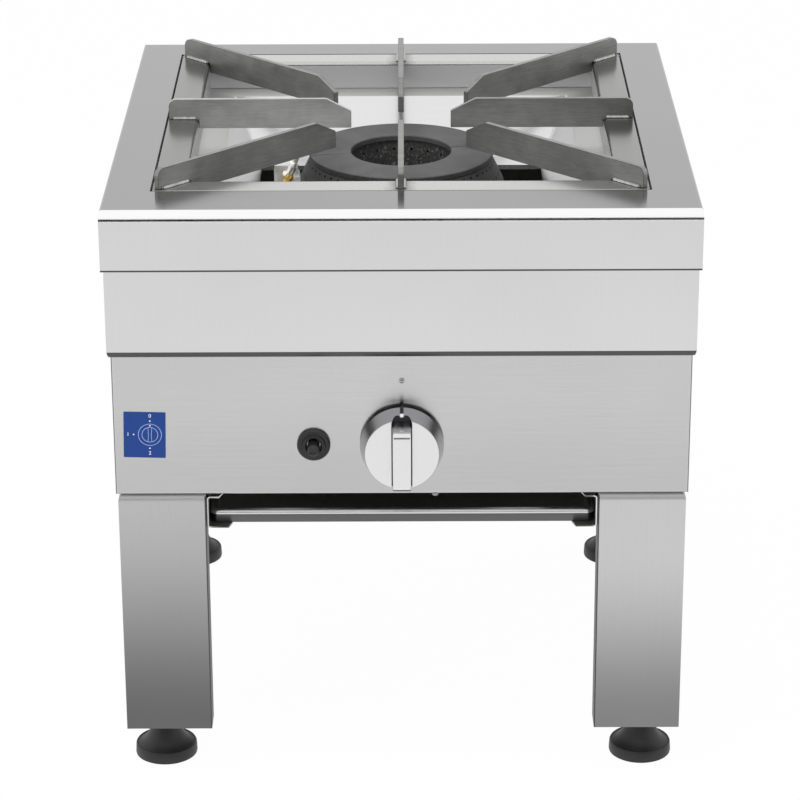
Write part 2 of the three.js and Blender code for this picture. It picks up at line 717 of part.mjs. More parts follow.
// The cast bowl: a ring-shaped mixing chamber with a round inlet in front and four stub feet.
function makeBowl() {
  const inner = burnerOuter - burner.wall;
  const throat = burner.throat / 2;
  const core = throat + burner.wall;
  const floorTop = bowlBottom + burner.floor;
  const coreTop = ringTop - burner.innerHeight - seat;
  const bowl = turned([
    [throat, bowlBottom], [burnerOuter - 6, bowlBottom], [burnerOuter, bowlBottom + 6],
    [burnerOuter, bowlTop], [inner, bowlTop], [inner, floorTop + 3], [inner - 3, floorTop],
    [core, floorTop], [core, coreTop], [throat, coreTop], [throat, bowlBottom],
  ], sides.large, [0, 0, 0], alongAxis.z);
  const stubs = [-1, 1].flatMap((sx) => [-1, 1].map((sy) => {
    const [x, y, half] = [sx * burner.footSpread, sy * rail.spread, burner.footSize / 2];
    return block([x - half, x + half], [y - half, y + half], [railTop + seat, bowlBottom + 1]);
  }));
  const bossEnd = burnerOuter + mixer.socket;
  const bossStart = [0, -inner + burner.wall, mixerHeight];
  const bossLength = bossEnd - inner + burner.wall;
  const boss = rod(mixer.bore + 2 * mixer.wall, bossLength, sides.medium, bossStart, alongAxis.front);
  const portStart = [0, -core - burner.wall, mixerHeight];
  const port = rod(mixer.bore, bossEnd - core, sides.medium, portStart, alongAxis.front);
  const chamber = turned([
    [core, floorTop], [inner, floorTop], [inner, bowlTop], [core, bowlTop], [core, floorTop],
  ], sides.large, [0, 0, 0], alongAxis.z);
  return stubs.reduce((cast, stub) => cast.add(stub), bowl.add(boss.subtract(chamber))).subtract(port);
}

const seamTurn = THREE.MathUtils.degToRad(burner.seam);
add(burnerGroup, 'burner_cap_rear', makeCapHalf(seamTurn), castIron);
add(burnerGroup, 'burner_cap_front', makeCapHalf(seamTurn + Math.PI), castIron);
add(burnerGroup, 'burner_outer_ring', makeOuterRing(), castIron);
add(burnerGroup, 'burner_inner_ring', makeInnerRing(), castIron);
add(burnerGroup, 'burner_bowl', makeBowl(), castIron);

// The mixing tube: a straight bore that opens to a bell mouth at the front.
function makeMixingTube() {
  const [bore, outer, mouth] = [mixer.bore / 2, mixer.bore / 2 + mixer.wall, mixer.mouth / 2];
  const end = mixer.length;
  const [bellStart, bellMiddle, rim] = [end - mixer.bell, end - mixer.bell * 0.6, end - mixer.bell * 0.2];
  return turned([
    [bore, 0], [outer, 0], [outer, bellStart], [outer + 3, bellMiddle], [mouth - 3, rim], [mouth, end],
    [mouth - 3, end], [mouth - 7, rim], [bore + 2, bellMiddle], [bore, bellStart], [bore, 0],
  ], sides.medium, [0, -burnerOuter - mixer.socket - seat, mixerHeight], alongAxis.front);
}

add(burnerGroup, 'mixing_tube', makeMixingTube(), castIron);

// Two rails carry the burner between the side panels.
function makeRail(end) {
  const half = width / 2 - body.inset - sheet - seat;
  const low = railTop - rail.tab;
  const face = [[half, low], [half, railTop, 4], [-half, railTop, 4], [-half, low]];
  const y = centreY + end * rail.spread;
  return alongY(bentSheet(face, rail.plate), y - rail.width / 2, y + rail.width / 2);
}

add(range, 'burner_rail_front', makeRail(-1), stainless);
add(range, 'burner_rail_rear', makeRail(1), stainless);

// ---------------------------------------------------------------- gas tap and knob

const atPanel = (y) => [0, y, knobHeight];
const panelBack = panelFace + sheet;
const spindleFront = panelFace - knob.standOff - knob.cavity + 1.5;
const spindleBack = spindleFront + knob.spindleLength;
const valveFront = panelBack + seat;
const valveBodyFront = valveFront + valve.neckLength;
const valveBack = valveBodyFront + valve.depth;

// The flat on the spindle and in the knob's socket.
function flatOf(radius, front, length) {
  const size = radius * 3;
  const low = knobHeight + radius - knob.spindleFlat / 2;
  return block([-size, size], [front, front + length], [low, knobHeight + size]);
}

function makeSpindle() {
  const shaft = rod(knob.spindle, knob.spindleLength, sides.small, atPanel(spindleBack), alongAxis.front);
  return shaft.subtract(flatOf(knob.spindle / 2, spindleFront - 1, knob.hubLength));
}

// The tap: a neck against the panel, a body with an inlet boss at the right and outlet on top.
function makeValve() {
  const half = valve.width / 2;
  const low = knobHeight - valve.height / 2;
  const high = knobHeight + valve.height / 2;
  const section = outline([[-half, low, 5], [half, low, 5], [half, high, 5], [-half, high, 5]]);
  const middle = valveBodyFront + valve.depth / 2;
  const neckStart = atPanel(valveBodyFront + 1);
  const neck = rod(valve.neck, valve.neckLength + 1, sides.small, neckStart, alongAxis.front);
  const boss = (origin, axis) => rod(valve.boss, valve.bossLength + 1, sides.small, origin, axis);
  const inletBoss = boss([half - 1, middle, knobHeight], alongAxis.x);
  const outletBoss = boss([0, middle, high - 1], alongAxis.z);
  const bore = rod(
    knob.spindle + 2 * running, spindleBack + knob.push + running - valveFront + 1, sides.small,
    atPanel(spindleBack + knob.push + running), alongAxis.front,
  );
  const collarRoom = rod(
    collar.diameter + 2 * running, collar.room + 1, sides.small,
    atPanel(valveFront + collar.room), alongAxis.front,
  );
  return alongY(section, valveBodyFront, valveBack).add(neck).add(inletBoss).add(outletBoss)
    .subtract(bore).subtract(collarRoom);
}

// The thrust washer that the spindle pushes back against the tap's spring. It does not turn.
function makeCollar() {
  const [bore, rim] = [knob.spindle / 2 + seat, collar.diameter / 2];
  const profile = [[bore, 0], [rim, 0], [rim, collar.thickness], [bore, collar.thickness], [bore, 0]];
  return turned(profile, sides.small, atPanel(valveFront + 1 + collar.thickness), alongAxis.front);
}

// The knob's skirt: a hollow cone with a hub, a pointer rib on top and a channel across its face.
function makeKnobSkirt() {
  const [rear, face, length] = [knob.rear / 2, knob.face / 2, knob.skirt];
  const rearY = panelFace - knob.standOff;
  const hub = knob.hub / 2;
  const bore = knob.spindle / 2 + seat;
  const cone = turned([
    [0, length], [face - 1, length], [face, length - 1], [rear, 0], [rear - knob.wall, 0],
    [rear - knob.wall - 1.5, knob.cavity], [hub, knob.cavity], [hub, knob.cavity - knob.hubLength],
    [0, knob.cavity - knob.hubLength],
  ].reverse(), sides.large, atPanel(rearY), alongAxis.front);
  const channelBottom = rearY - length + knob.channelDepth;
  const half = knob.channel / 2;
  const acrossFace = [knobHeight - rear, knobHeight + rear];
  const channel = block([-half, half], [rearY - length - 1, channelBottom], acrossFace);
  const ribSide = outline([
    [rearY, knobHeight + rear - 3], [rearY, knobHeight + rear + knob.ribHeight],
    [rearY - length + 4, knobHeight + face + knob.ribHeight + 1], [rearY - length + 4, knobHeight + face - 3],
  ]);
  const rib = alongX(ribSide, -knob.ribWidth / 2, knob.ribWidth / 2);
  const socketLength = rearY - spindleFront + seat + 2;
  const socket = rod(2 * bore, socketLength, sides.small, atPanel(rearY + 2), alongAxis.front)
    .subtract(flatOf(bore, spindleFront - seat, knob.hubLength));
  return cone.add(rib).subtract(channel).subtract(socket);
}

// The grip bar stands in the channel. Its ends and front edges are rounded.
function makeGrip() {
  const back = panelFace - knob.standOff - knob.skirt + knob.channelDepth - seat;
  const [low, high] = [knobHeight - knob.gripLength / 2, knobHeight + knob.gripLength / 2];
  const half = knob.gripWidth / 2;
  const fromSide = outline([
    [back, low], [back, high], [gripFront, high, knob.gripRadius], [gripFront, low, knob.gripRadius],
  ]);
  const fromAbove = outline([[-half, back], [half, back], [half, gripFront, 2], [-half, gripFront, 2]]);
  return alongX(fromSide, -half, half).intersect(alongZ(fromAbove, low, high));
}

function makeIndexStud() {
  const [head, shank] = [stud.head / 2, stud.shank / 2];
  return turned([
    [0, stud.length + sheet], [shank, stud.length + sheet], [shank, -seat], [head, -seat],
    [head * 0.9, -stud.proud * 0.6], [head * 0.5, -stud.proud], [0, -stud.proud],
  ].map(([r, l]) => [r, -l]), 12, [0, panelFace, bodyBottom + stud.aboveBottom], alongAxis.front);
}

add(range, 'gas_valve', makeValve(), aluminium);
add(range, 'thrust_collar', makeCollar(), steelPipe);
add(range, 'spindle', makeSpindle(), steelPipe);
add(range, 'knob_skirt', makeKnobSkirt(), polishedKnob);
add(range, 'knob_grip', makeGrip(), polishedKnob);
add(range, 'index_stud', makeIndexStud(), stainless);

// ---------------------------------------------------------------- igniter

const igniterAt = (y) => [-igniter.offset, y, knobHeight];

// A stepped bezel in front of the panel and a threaded barrel behind it, bored for the button.
function makeIgniterBody() {
  const [bezel, step, barrel] = [igniter.bezel / 2, igniter.step / 2, igniter.barrel / 2];
  const bore = igniter.button / 2 + running;
  const front = igniter.bezelDepth;
  const stepFront = front + igniter.stepDepth;
  const bottom = igniter.barrelLength - 3;
  const profile = [
    [0, igniter.barrelLength], [barrel, igniter.barrelLength], [barrel, -seat], [bezel, -seat],
    [bezel, -front + 1.2], [bezel - 1.2, -front], [step + 1, -front], [step, -stepFront + 0.6],
    [step - 0.6, -stepFront], [bore + 1.5, -stepFront], [bore, -front], [bore, bottom], [0, bottom],
  ];
  return turned(profile.map(([r, l]) => [r, -l]), sides.medium, igniterAt(panelFace), alongAxis.front);
}

function makeIgniterButton() {
  const r = igniter.button / 2;
  const top = igniter.proud;
  const back = top - igniter.buttonLength;
  return turned([
    [0, back], [r, back], [r, top - 2], [r - 1.8, top], [0, top + 0.4],
  ], sides.medium, igniterAt(panelFace), alongAxis.front);
}

function makeIgniterNut() {
  const holeBack = igniterAt(panelBack + igniter.nutDepth + 1);
  const hole = rod(igniter.barrel + 2 * seat, igniter.nutDepth + 2, sides.medium, holeBack, alongAxis.front);
  return frontPrism(regular(6, igniter.nut), igniterAt(panelBack + seat), igniter.nutDepth).subtract(hole);
}

add(range, 'igniter_body', makeIgniterBody(), blackPlastic);
add(range, 'igniter_button', makeIgniterButton(), blackPlastic);
add(range, 'igniter_nut', makeIgniterNut(), blackPlastic);

// ---------------------------------------------------------------- gas pipes, injector and air shutter

const mouthY = centreY - burnerOuter - mixer.socket - seat - mixer.length;
const injectorTipY = mouthY + injector.intoMouth;
const injectorBackY = injectorTipY - injector.length;
const valveMiddle = valveBodyFront + valve.depth / 2;

function makeInjector() {
  const [bodyRadius, tip] = [injector.body / 2, injector.tip / 2];
  const length = injector.length;
  const tipStart = length - injector.tipLength;
  const origin = [0, injectorBackY, mixerHeight];
  const shaft = turned([
    [0, 0], [bodyRadius, 0], [bodyRadius, tipStart - 3], [tip, tipStart], [tip, length - 2],
    [tip - 1, length], [0, length],
  ], sides.small, origin, alongAxis.y);
  return shaft.add(frontPrism(regular(6, injector.hex), origin, injector.hexLength));
}

// A dished disc on the injector sets the air that the mixing tube draws in.
function makeShutter() {
  const r = shutter.diameter / 2;
  const bore = injector.body / 2 + seat;
  const { plate, rim } = shutter;
  return turned([
    [bore, 0], [r - plate, 0], [r, plate], [r, rim], [r - plate, rim], [r - plate, plate + 1],
    [r - plate - 1, plate], [bore, plate], [bore, 0],
  ], sides.medium, [0, mouthY - shutter.stand, mixerHeight], alongAxis.y);
}

function makeSupplyPipe() {
  const start = knobHeight + valve.height / 2 + valve.bossLength + seat;
  const end = injectorBackY - seat;
  return tube(
    [[0, valveMiddle, start], [0, valveMiddle, mixerHeight], [0, end, mixerHeight]],
    supply.diameter, supply.bend, 6,
  );
}

function makeInletPipe() {
  const start = backFace - inlet.inside - seat;
  const end = valve.width / 2 + valve.bossLength + seat;
  const corner = [inlet.offset, valveMiddle, knobHeight];
  return tube(
    [[inlet.offset, start, knobHeight], corner, [end, valveMiddle, knobHeight]],
    pipe.diameter, pipe.bend, 14,
  );
}

// The inlet: a bored stub through the back panel with a hexagon against the panel's outside.
function makeInletFitting() {
  const [bore, outer] = [inlet.bore / 2, inlet.outer / 2];
  const length = inlet.inside + inlet.proud;
  const stub = turned([
    [outer - 1, 0], [outer, 1], [outer, length - 1], [outer - 1, length], [bore, length], [bore, 4], [0, 4],
    [0, 0], [outer - 1, 0],
  ], sides.medium, [inlet.offset, backFace - inlet.inside, knobHeight], alongAxis.y);
  const hex = frontPrism(regular(6, inlet.hex), [inlet.offset, backFace + seat, knobHeight], inlet.hexLength);
  const coreStart = [inlet.offset, backFace, knobHeight];
  const core = rod(inlet.bore, inlet.hexLength + 2, sides.medium, coreStart, alongAxis.y);
  return stub.add(hex.subtract(core));
}

add(range, 'injector', makeInjector(), brass);
add(range, 'air_shutter', makeShutter(), stainless);
add(range, 'supply_pipe', makeSupplyPipe(), steelPipe);
add(range, 'inlet_pipe', makeInletPipe(), steelPipe);
add(range, 'inlet_fitting', makeInletFitting(), brass);

// ---------------------------------------------------------------- pilot, electrode and their leads

const pilotX = -pilot.left;
const pilotY = centreY - pilot.ahead;
const plateTop = capTop + pilot.abovePlate;
const plateLow = plateTop - pilot.plateHeight;
const shelfTop = plateTop - pilot.shelfDrop;
const ceramicAt = [pilotX + pilot.plateWidth / 4, pilotY - pilot.ceramicBack];
const sensorAt = [pilotX - pilot.plateWidth / 12, pilotY - (pilot.shelf * 3) / 4];

// A bracket tied to the bowl by a tongue: an upright plate shields the flame, a shelf holds the pieces.
function makePilotBracket() {
  const half = pilot.plateWidth / 2;
  const plate = alongY(outline([
    [pilotX - half, plateLow], [pilotX + half, plateLow], [pilotX + half, plateTop, 9],
    [pilotX - half, plateTop, 2],
  ]), pilotY - sheet, pilotY);
  const shelf = alongZ(outline([
    [pilotX - half, pilotY], [pilotX - half, pilotY - pilot.shelf, 4],
    [pilotX + half, pilotY - pilot.shelf, 4], [pilotX + half, pilotY],
  ]), shelfTop - sheet, shelfTop);
  const tongue = block(
    [pilotX - half, -burnerOuter * 0.75],
    [pilotY - sheet, pilotY + pilot.tongue],
    [plateLow, plateLow + sheet],
  );
  const bowl = rod(burner.outer + 2 * seat, height, sides.large, [0, centreY, 0], alongAxis.z);
  const hole = ([x, y], diameter) => (
    rod(diameter + 2 * seat, 4 * sheet, sides.small, [x, y, shelfTop - 2 * sheet], alongAxis.z)
  );
  return plate.add(shelf).add(tongue).subtract(bowl)
    .subtract(hole(ceramicAt, pilot.ceramic)).subtract(hole(sensorAt, pilot.sensor));
}

// The spark electrode's insulator: its base sits on the shelf, its stem passes through and a broad
// collar shields the base from spills.
function makeCeramic() {
  const [r, base, rim] = [pilot.ceramic / 2, pilot.base / 2, pilot.collar / 2];
  const below = pilot.ceramicBelow;
  const wire = pilot.electrode / 2 + seat;
  const rest = below + seat;
  const top = pilot.ceramicLength;
  return turned([
    [wire, 0], [r - 0.6, 0], [r, 0.6], [r, rest], [base, rest], [base, rest + pilot.collarLow],
    [rim, rest + pilot.collarLow], [rim, rest + pilot.collarHigh], [r, rest + pilot.collarHigh],
    [r - 1, top], [wire, top], [wire, 0],
  ], sides.small, [...ceramicAt, shelfTop - below], alongAxis.z);
}

function makeElectrode() {
  const low = shelfTop - pilot.ceramicBelow - 4;
  const high = shelfTop - pilot.ceramicBelow + pilot.ceramicLength + 4;
  const tip = [ceramicAt[0] + 12, ceramicAt[1] + 4, high + 2];
  return tube([[...ceramicAt, low], [...ceramicAt, high], tip], pilot.electrode, 3, 4);
}

// The flame sensor: a tube clamped in the shelf, bent over towards the burner.
function makeSensor() {
  const [x, y] = sensorAt;
  const bendAt = shelfTop + pilot.nutHeight + 6;
  const tip = [x + 13, y, bendAt + 17];
  return tube([[x, y, shelfTop - pilot.sensorBelow], [x, y, bendAt], tip], pilot.sensor, 4, 4);
}

function makeSensorNut() {
  const [wide, narrow, bore] = [pilot.nut / 2, pilot.sensor / 2 + 1.2, pilot.sensor / 2 + seat];
  const tall = pilot.nutHeight;
  const cone = turned([
    [bore, seat], [wide, seat], [wide, tall * 0.5], [narrow, tall * 0.8], [narrow, tall], [bore, tall],
    [bore, seat],
  ], sides.small, [...sensorAt, shelfTop], alongAxis.z);
  const [x, y] = sensorAt;
  const hexagon = regular(6, pilot.nut - 1).map((p) => new THREE.Vector2(p.x + x, p.y + y));
  return cone.intersect(alongZ(hexagon, shelfTop, shelfTop + tall + 1));
}

// Both leads drop in front of the burner's rail and run to the tap and to the igniter.
function makeSensorLead() {
  const [x, y] = sensorAt;
  const tapHeight = knobHeight - 8;
  return tube([
    [x, y, shelfTop - pilot.sensorBelow - seat], [x, y, railTop + 34], [x, y - 64, railTop],
    [0, valveBack + 56, tapHeight], [0, valveBack + seat, tapHeight],
  ], lead.diameter, lead.bend, lead.step);
}

function makeIgnitionLead() {
  const [x, y] = ceramicAt;
  const end = panelFace + igniter.barrelLength + seat;
  return tube([
    [x, y, shelfTop - pilot.ceramicBelow - 4 - seat], [x, y, railTop + 16], [x, y - 58, railTop - 29],
    [-igniter.offset, end + 51, knobHeight], igniterAt(end),
  ], lead.diameter, lead.bend, lead.step);
}

add(range, 'pilot_bracket', makePilotBracket(), aluminium);
add(range, 'electrode_ceramic', makeCeramic(), ceramic);
add(range, 'electrode_rod', makeElectrode(), steelPipe);
add(range, 'flame_sensor', makeSensor(), steelPipe);
add(range, 'sensor_nut', makeSensorNut(), brass);
add(range, 'sensor_lead', makeSensorLead(), brass);
add(range, 'ignition_lead', makeIgnitionLead(), leadJacket);

range.position.set(0, -(gripFront + inletEnd) / 2, 0);

export default range;
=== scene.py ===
"""A stock pot range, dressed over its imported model: a stainless-steel casing on four legs, a lift-out pan
support of flat bars, a cast-iron ring burner in a spill pan, a drip tray, a gas tap and an igniter.

Every shape is worked out in millimetres in the maker's frame: X from the middle, Y from the front of the
worktop's skirt towards the back, Z from the floor. place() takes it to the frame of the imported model. A row
of a profile is (u, v) or (u, v, radius of the corner).
"""

import math

import bmesh
import bpy
import numpy as np
from bpy.props import FloatProperty, FloatVectorProperty, IntProperty, PointerProperty
from mathutils import Euler, Matrix, Vector


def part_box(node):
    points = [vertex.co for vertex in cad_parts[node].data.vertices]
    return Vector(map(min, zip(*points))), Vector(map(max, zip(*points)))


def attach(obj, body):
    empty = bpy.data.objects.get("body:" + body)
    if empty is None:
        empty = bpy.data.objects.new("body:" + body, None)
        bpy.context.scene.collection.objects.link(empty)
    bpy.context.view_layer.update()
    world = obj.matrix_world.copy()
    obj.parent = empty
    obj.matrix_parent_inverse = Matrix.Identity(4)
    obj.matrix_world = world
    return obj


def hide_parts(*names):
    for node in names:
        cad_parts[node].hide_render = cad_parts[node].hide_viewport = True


bl_info = {
    "name": "Stock Pot Range",
    "version": (1, 0, 0),
    "blender": (4, 5, 0),
    "location": "3D View > Sidebar > Range",
    "description": "Builds the visible surfaces and finishes of a single-burner stock pot range",
    "category": "Object",
}

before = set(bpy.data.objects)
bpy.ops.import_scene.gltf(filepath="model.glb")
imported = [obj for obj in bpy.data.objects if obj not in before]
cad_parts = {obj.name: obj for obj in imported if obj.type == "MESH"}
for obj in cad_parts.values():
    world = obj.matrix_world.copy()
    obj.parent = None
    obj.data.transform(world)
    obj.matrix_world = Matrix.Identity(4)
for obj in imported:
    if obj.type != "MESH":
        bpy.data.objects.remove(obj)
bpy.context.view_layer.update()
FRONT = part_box("worktop")[0].y * 1000

SEAT = 0.3  # clearance between pieces that lie against each other, in millimetres
EASE = 0.3  # straight run beside an arc, in millimetres
SHARP = 32  # faces that meet at a larger angle than this, in degrees, keep a sharp edge
WHITE = (1.0, 1.0, 1.0, 1.0)
UP, FORWARDS, BACKWARDS = (0, 0, 1), (0, -1, 0), (0, 1, 0)


def place(points):
    """Millimetres in the maker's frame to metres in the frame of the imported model."""
    return (np.asarray(points, float) + (0, FRONT, 0)) / 1000


def extent(name):
    """The lowest and highest corner of a CAD node, in the maker's millimetres."""
    low, high = (np.array(corner) * 1000 - (0, FRONT, 0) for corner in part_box(name))
    return low, high


def centre_of(name):
    """The middle of a CAD node's box, in the maker's millimetres."""
    low, high = extent(name)
    return (low + high) / 2


def linear(code, factor=1.0):
    """An sRGB hex colour, lighter or darker by a factor, as linear red, green, blue and alpha."""
    value = np.array([int(code[i:i + 2], 16) for i in (0, 2, 4)]) / 255
    return shade(np.where(value <= 0.04045, value / 12.92, ((value + 0.055) / 1.055) ** 2.4).tolist(), factor)


def shade(colour, factor):
    """A linear colour made lighter or darker by a factor."""
    return (*(min(1.0, part * factor) for part in colour[:3]), 1.0)


# ---------------------------------------------------------------- shapes


def quads(rows, columns, wrap_rows=False, wrap_columns=False):
    """The four corners of each cell of a grid of points, as indices."""
    a, b = np.meshgrid(
        np.arange(rows if wrap_rows else rows - 1),
        np.arange(columns if wrap_columns else columns - 1),
        indexing="ij",
    )
    c, d = (a + 1) % rows, (b + 1) % columns
    return np.stack([a * columns + b, c * columns + b, c * columns + d, a * columns + d], -1).reshape(-1, 4)


def capped(rows, count):
    """The walls of rows of points that are joined round, with a face over the first row and over the last."""
    ring = np.arange(count)
    return [quads(rows, count, wrap_columns=True), ring[None, ::-1], (rows - 1) * count + ring[None]]


def split(points, faces, *groups):
    """The same points once for each group of their faces, numbered in turn for their materials."""
    return [(points, [faces[chosen]], number) for number, chosen in enumerate(groups)]


def unit(vectors):
    """Each vector divided by its own length."""
    return vectors / np.maximum(np.linalg.norm(vectors, axis=-1, keepdims=True), 1e-12)


def circle(count, turn=0.0):
    """Angles evenly round a circle."""
    return turn + np.linspace(0, 2 * math.pi, count, endpoint=False)


def arcs(corner, before, after, radius, steps):
    """Rounds each corner off by an arc about its centre, from the point where it leaves one side to the point
    where it meets the next: centre + (sin((1-t)a) s + sin(ta) e) / sin(a). Gives the arcs, starts and ends."""
    back, ahead = unit(before - corner), unit(after - corner)
    half = np.arccos(np.clip((back * ahead).sum(1), -1, 1)) / 2
    half = np.clip(half, 1e-4, math.pi / 2 - 1e-6)
    reach = (radius / np.tan(half))[:, None]
    start, end = corner + back * reach, corner + ahead * reach
    centre = corner + unit(back + ahead) * (radius / np.sin(half))[:, None]
    sweep = (math.pi - 2 * half)[:, None, None]
    t = np.linspace(0, 1, steps + 1)[None, :, None]
    arc = np.sin((1 - t) * sweep) * (start - centre)[:, None] + np.sin(t * sweep) * (end - centre)[:, None]
    return centre[:, None] + arc / np.sin(sweep), start, end


def rounded(corners, steps=6, closed=True):
    """A line of corners (u, v, radius), each made an arc. A short straight run on each side of an arc keeps
    the shading of the flats beside it level."""
    table = np.array([(*corner, 0.0)[:3] for corner in corners], float)
    point, radius = table[:, :2], table[:, 2].copy()
    if not closed:
        radius[[0, -1]] = 0
    before, after = np.roll(point, 1, 0), np.roll(point, -1, 0)
    arc, start, end = arcs(point, before, after, radius, steps)
    run = np.minimum(EASE, radius / 4)[:, None]
    start, end = start + unit(before - point) * run, end + unit(after - point) * run
    line = np.concatenate([start[:, None], arc, end[:, None]], 1).reshape(-1, 2)
    kept = np.linalg.norm(np.diff(line, axis=0, prepend=line[-1:] if closed else line[:1] - 1), axis=1) > 1e-6
    return line[kept]


def sheet(line, thickness):
    """The outline of a bent sheet: the line, then the line moved to its left along the mitres, backwards."""
    run = unit(np.diff(line, axis=0))
    normal = np.c_[-run[:, 1], run[:, 0]]
    first, second = np.vstack([normal[:1], normal]), np.vstack([normal, normal[-1:]])
    mitre = (first + second) / (1 + (first * second).sum(1, keepdims=True))
    return np.vstack([line, (line + mitre * thickness)[::-1]])


def prism(outline, axis, low, high):
    """An outline carried along axis 0, 1 or 2 from low to high, which may differ from point to point."""
    points = np.empty((2, len(outline), 3))
    points[:, :, [k for k in range(3) if k != axis]] = outline
    points[0, :, axis], points[1, :, axis] = low, high
    return points.reshape(-1, 3), capped(2, len(outline))


def lathe(profile, count, origin, axis, turn=0.0, ring=False):
    """A profile of (radius, length) turned about an axis: origin + length * axis + radius * (cos, sin). The
    profile of a ring ends where it starts."""
    profile = np.array(profile, float)
    radius, length = (np.vstack([profile, profile[:1]]) if ring else profile).T
    axis = unit(np.array(axis, float))
    side = unit(np.cross(axis, (0, 0, 1) if abs(axis[2]) < 0.9 else (0, 1, 0)))
    angle = circle(count, turn)[:, None]
    round_ = np.cos(angle) * side + np.sin(angle) * np.cross(axis, side)
    points = np.array(origin) + length[:, None, None] * axis + radius[:, None, None] * round_
    return points.reshape(-1, 3), [quads(len(radius), count, wrap_columns=True)]


def loft(sections, steps=4, closed=True):
    """Level rectangles (half width, front, back, height, corner radius), joined one to the next. A corner is
    centre + radius * (cos, sin) over its quarter turn, with a short straight run before and after it. A closed
    loft also joins the last to the first."""
    half, front, back, height, radius = np.array(sections, float).T
    quarter = np.r_[0, np.linspace(0, math.pi / 2, steps + 1), math.pi / 2]
    turn = np.arange(4)[:, None] * math.pi / 2 + quarter
    run = np.zeros(len(quarter))
    run[0], run[-1] = -EASE, EASE
    sign_x, sign_y = np.array([1, -1, -1, 1]), np.array([1, 1, -1, -1])
    centre_x = sign_x * (half - radius)[:, None]
    centre_y = np.where(sign_y > 0, (back - radius)[:, None], (front + radius)[:, None])
    x = centre_x[..., None] + radius[:, None, None] * np.cos(turn) - run * np.sin(turn)
    y = centre_y[..., None] + radius[:, None, None] * np.sin(turn) + run * np.cos(turn)
    z = np.broadcast_to(height[:, None, None], x.shape)
    points = np.stack([x, y, z], -1).reshape(len(half), -1, 3)
    rows, count = points.shape[:2]
    faces = [quads(rows, count, wrap_rows=True, wrap_columns=True)] if closed else capped(rows, count)
    return points.reshape(-1, 3), faces


def row_of(faces, points, rows):
    """The number of the first row that each face of a loft or lathe touches."""
    return faces.min(1) // (len(points) // rows)


def folded(first, second, axes, pick):
    """A sheet folded both ways: the point (i, j) has the first line's place along one axis, the second line's
    along another, and along the third the one of their two levels that pick chooses. The cells are all turned
    round if most of them look at the middle of the form."""
    points = np.empty((len(first), len(second), 3))
    points[..., axes[0]] = first[:, None, 0]
    points[..., axes[1]] = second[None, :, 0]
    points[..., axes[2]] = pick(first[:, None, 1], second[None, :, 1])
    points, cells = points.reshape(-1, 3), quads(len(first), len(second))
    corner = points[cells]
    normal = np.cross(corner[:, 1] - corner[:, 0], corner[:, 2] - corner[:, 0])
    normal += np.cross(corner[:, 2] - corner[:, 0], corner[:, 3] - corner[:, 0])
    away = corner.mean(1) - (points.min(0) + points.max(0)) / 2
    return points, cells if (normal * away).sum() > 0 else cells[:, ::-1]


def tube(route, radius, count, steps=8, bend=None):
    """A round tube along a route of corners, each an arc of the bend radius. The section at each point is the
    circle square to the route: point + radius * (cos side + sin up)."""
    route = np.array(route, float)
    if bend:
        arc = arcs(route[1:-1], route[:-2], route[2:], bend, steps)[0]
        route = np.vstack([route[:1], arc.reshape(-1, 3), route[-1:]])
    tangent = unit(np.gradient(route, axis=0))
    askew = (0.31, 0.87, 0.39)  # a direction that no route takes
    side = unit(np.cross(tangent, askew))
    up = np.cross(tangent, side)
    angle = circle(count)[None, :, None]
    points = route[:, None] + radius * (np.cos(angle) * side[:, None] + np.sin(angle) * up[:, None])
    return points.reshape(-1, 3), capped(len(route), count)


# ---------------------------------------------------------------- pieces

FINISHES = {}


def piece(name, parts, finishes, body, replaces=(), angle=SHARP, bevel=0.0, shell=0.0):
    """One object from (points, faces) parts, each with the number of its finish. Its doubles are merged. A
    closed form has its normals recalculated; a shell keeps its own and gets a wall inwards."""
    points, faces, slots, offset = [], [], [], 0
    for part in parts:
        own_points, own_faces, index = (*part, 0)[:3]
        points.append(own_points)
        for group in own_faces:
            faces += (group + offset).tolist()
            slots += [index] * len(group)
        offset += len(own_points)
    mesh = bpy.data.meshes.new(name)
    mesh.from_pydata(place(np.vstack(points)).tolist(), [], faces)
    mesh.polygons.foreach_set("material_index", slots)
    for key in finishes:
        mesh.materials.append(FINISHES[key])
    build = bmesh.new()
    build.from_mesh(mesh)
    bmesh.ops.remove_doubles(build, verts=build.verts, dist=2e-6)
    if not shell:
        bmesh.ops.recalc_face_normals(build, faces=build.faces)
    build.to_mesh(mesh)
    build.free()
    mesh.shade_smooth()
    mesh.set_sharp_from_angle(angle=math.radians(angle))
    if shell:
        used, sharp = np.empty(len(mesh.loops), int), np.empty(len(mesh.edges), bool)
        mesh.loops.foreach_get("edge_index", used)
        mesh.edges.foreach_get("use_edge_sharp", sharp)
        sharp |= np.bincount(used, minlength=len(sharp)) == 1
        mesh.edges.foreach_set("use_edge_sharp", sharp)
    made = bpy.data.objects.new(name, mesh)
    bpy.context.scene.collection.objects.link(made)
    if shell:
        wall = made.modifiers.new("wall", "SOLIDIFY")
        wall.thickness, wall.offset = shell / 1000, -1
        wall.use_even_offset = True
        wall.material_offset = len(finishes) - 1
    if bevel:
        edge = made.modifiers.new("edge", "BEVEL")
        edge.width, edge.segments, edge.limit_method = bevel / 1000, 2, "ANGLE"
        edge.angle_limit = math.radians(angle)
        edge.harden_normals = True
    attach(made, body)
    if replaces:
        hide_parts(*replaces)
    return made


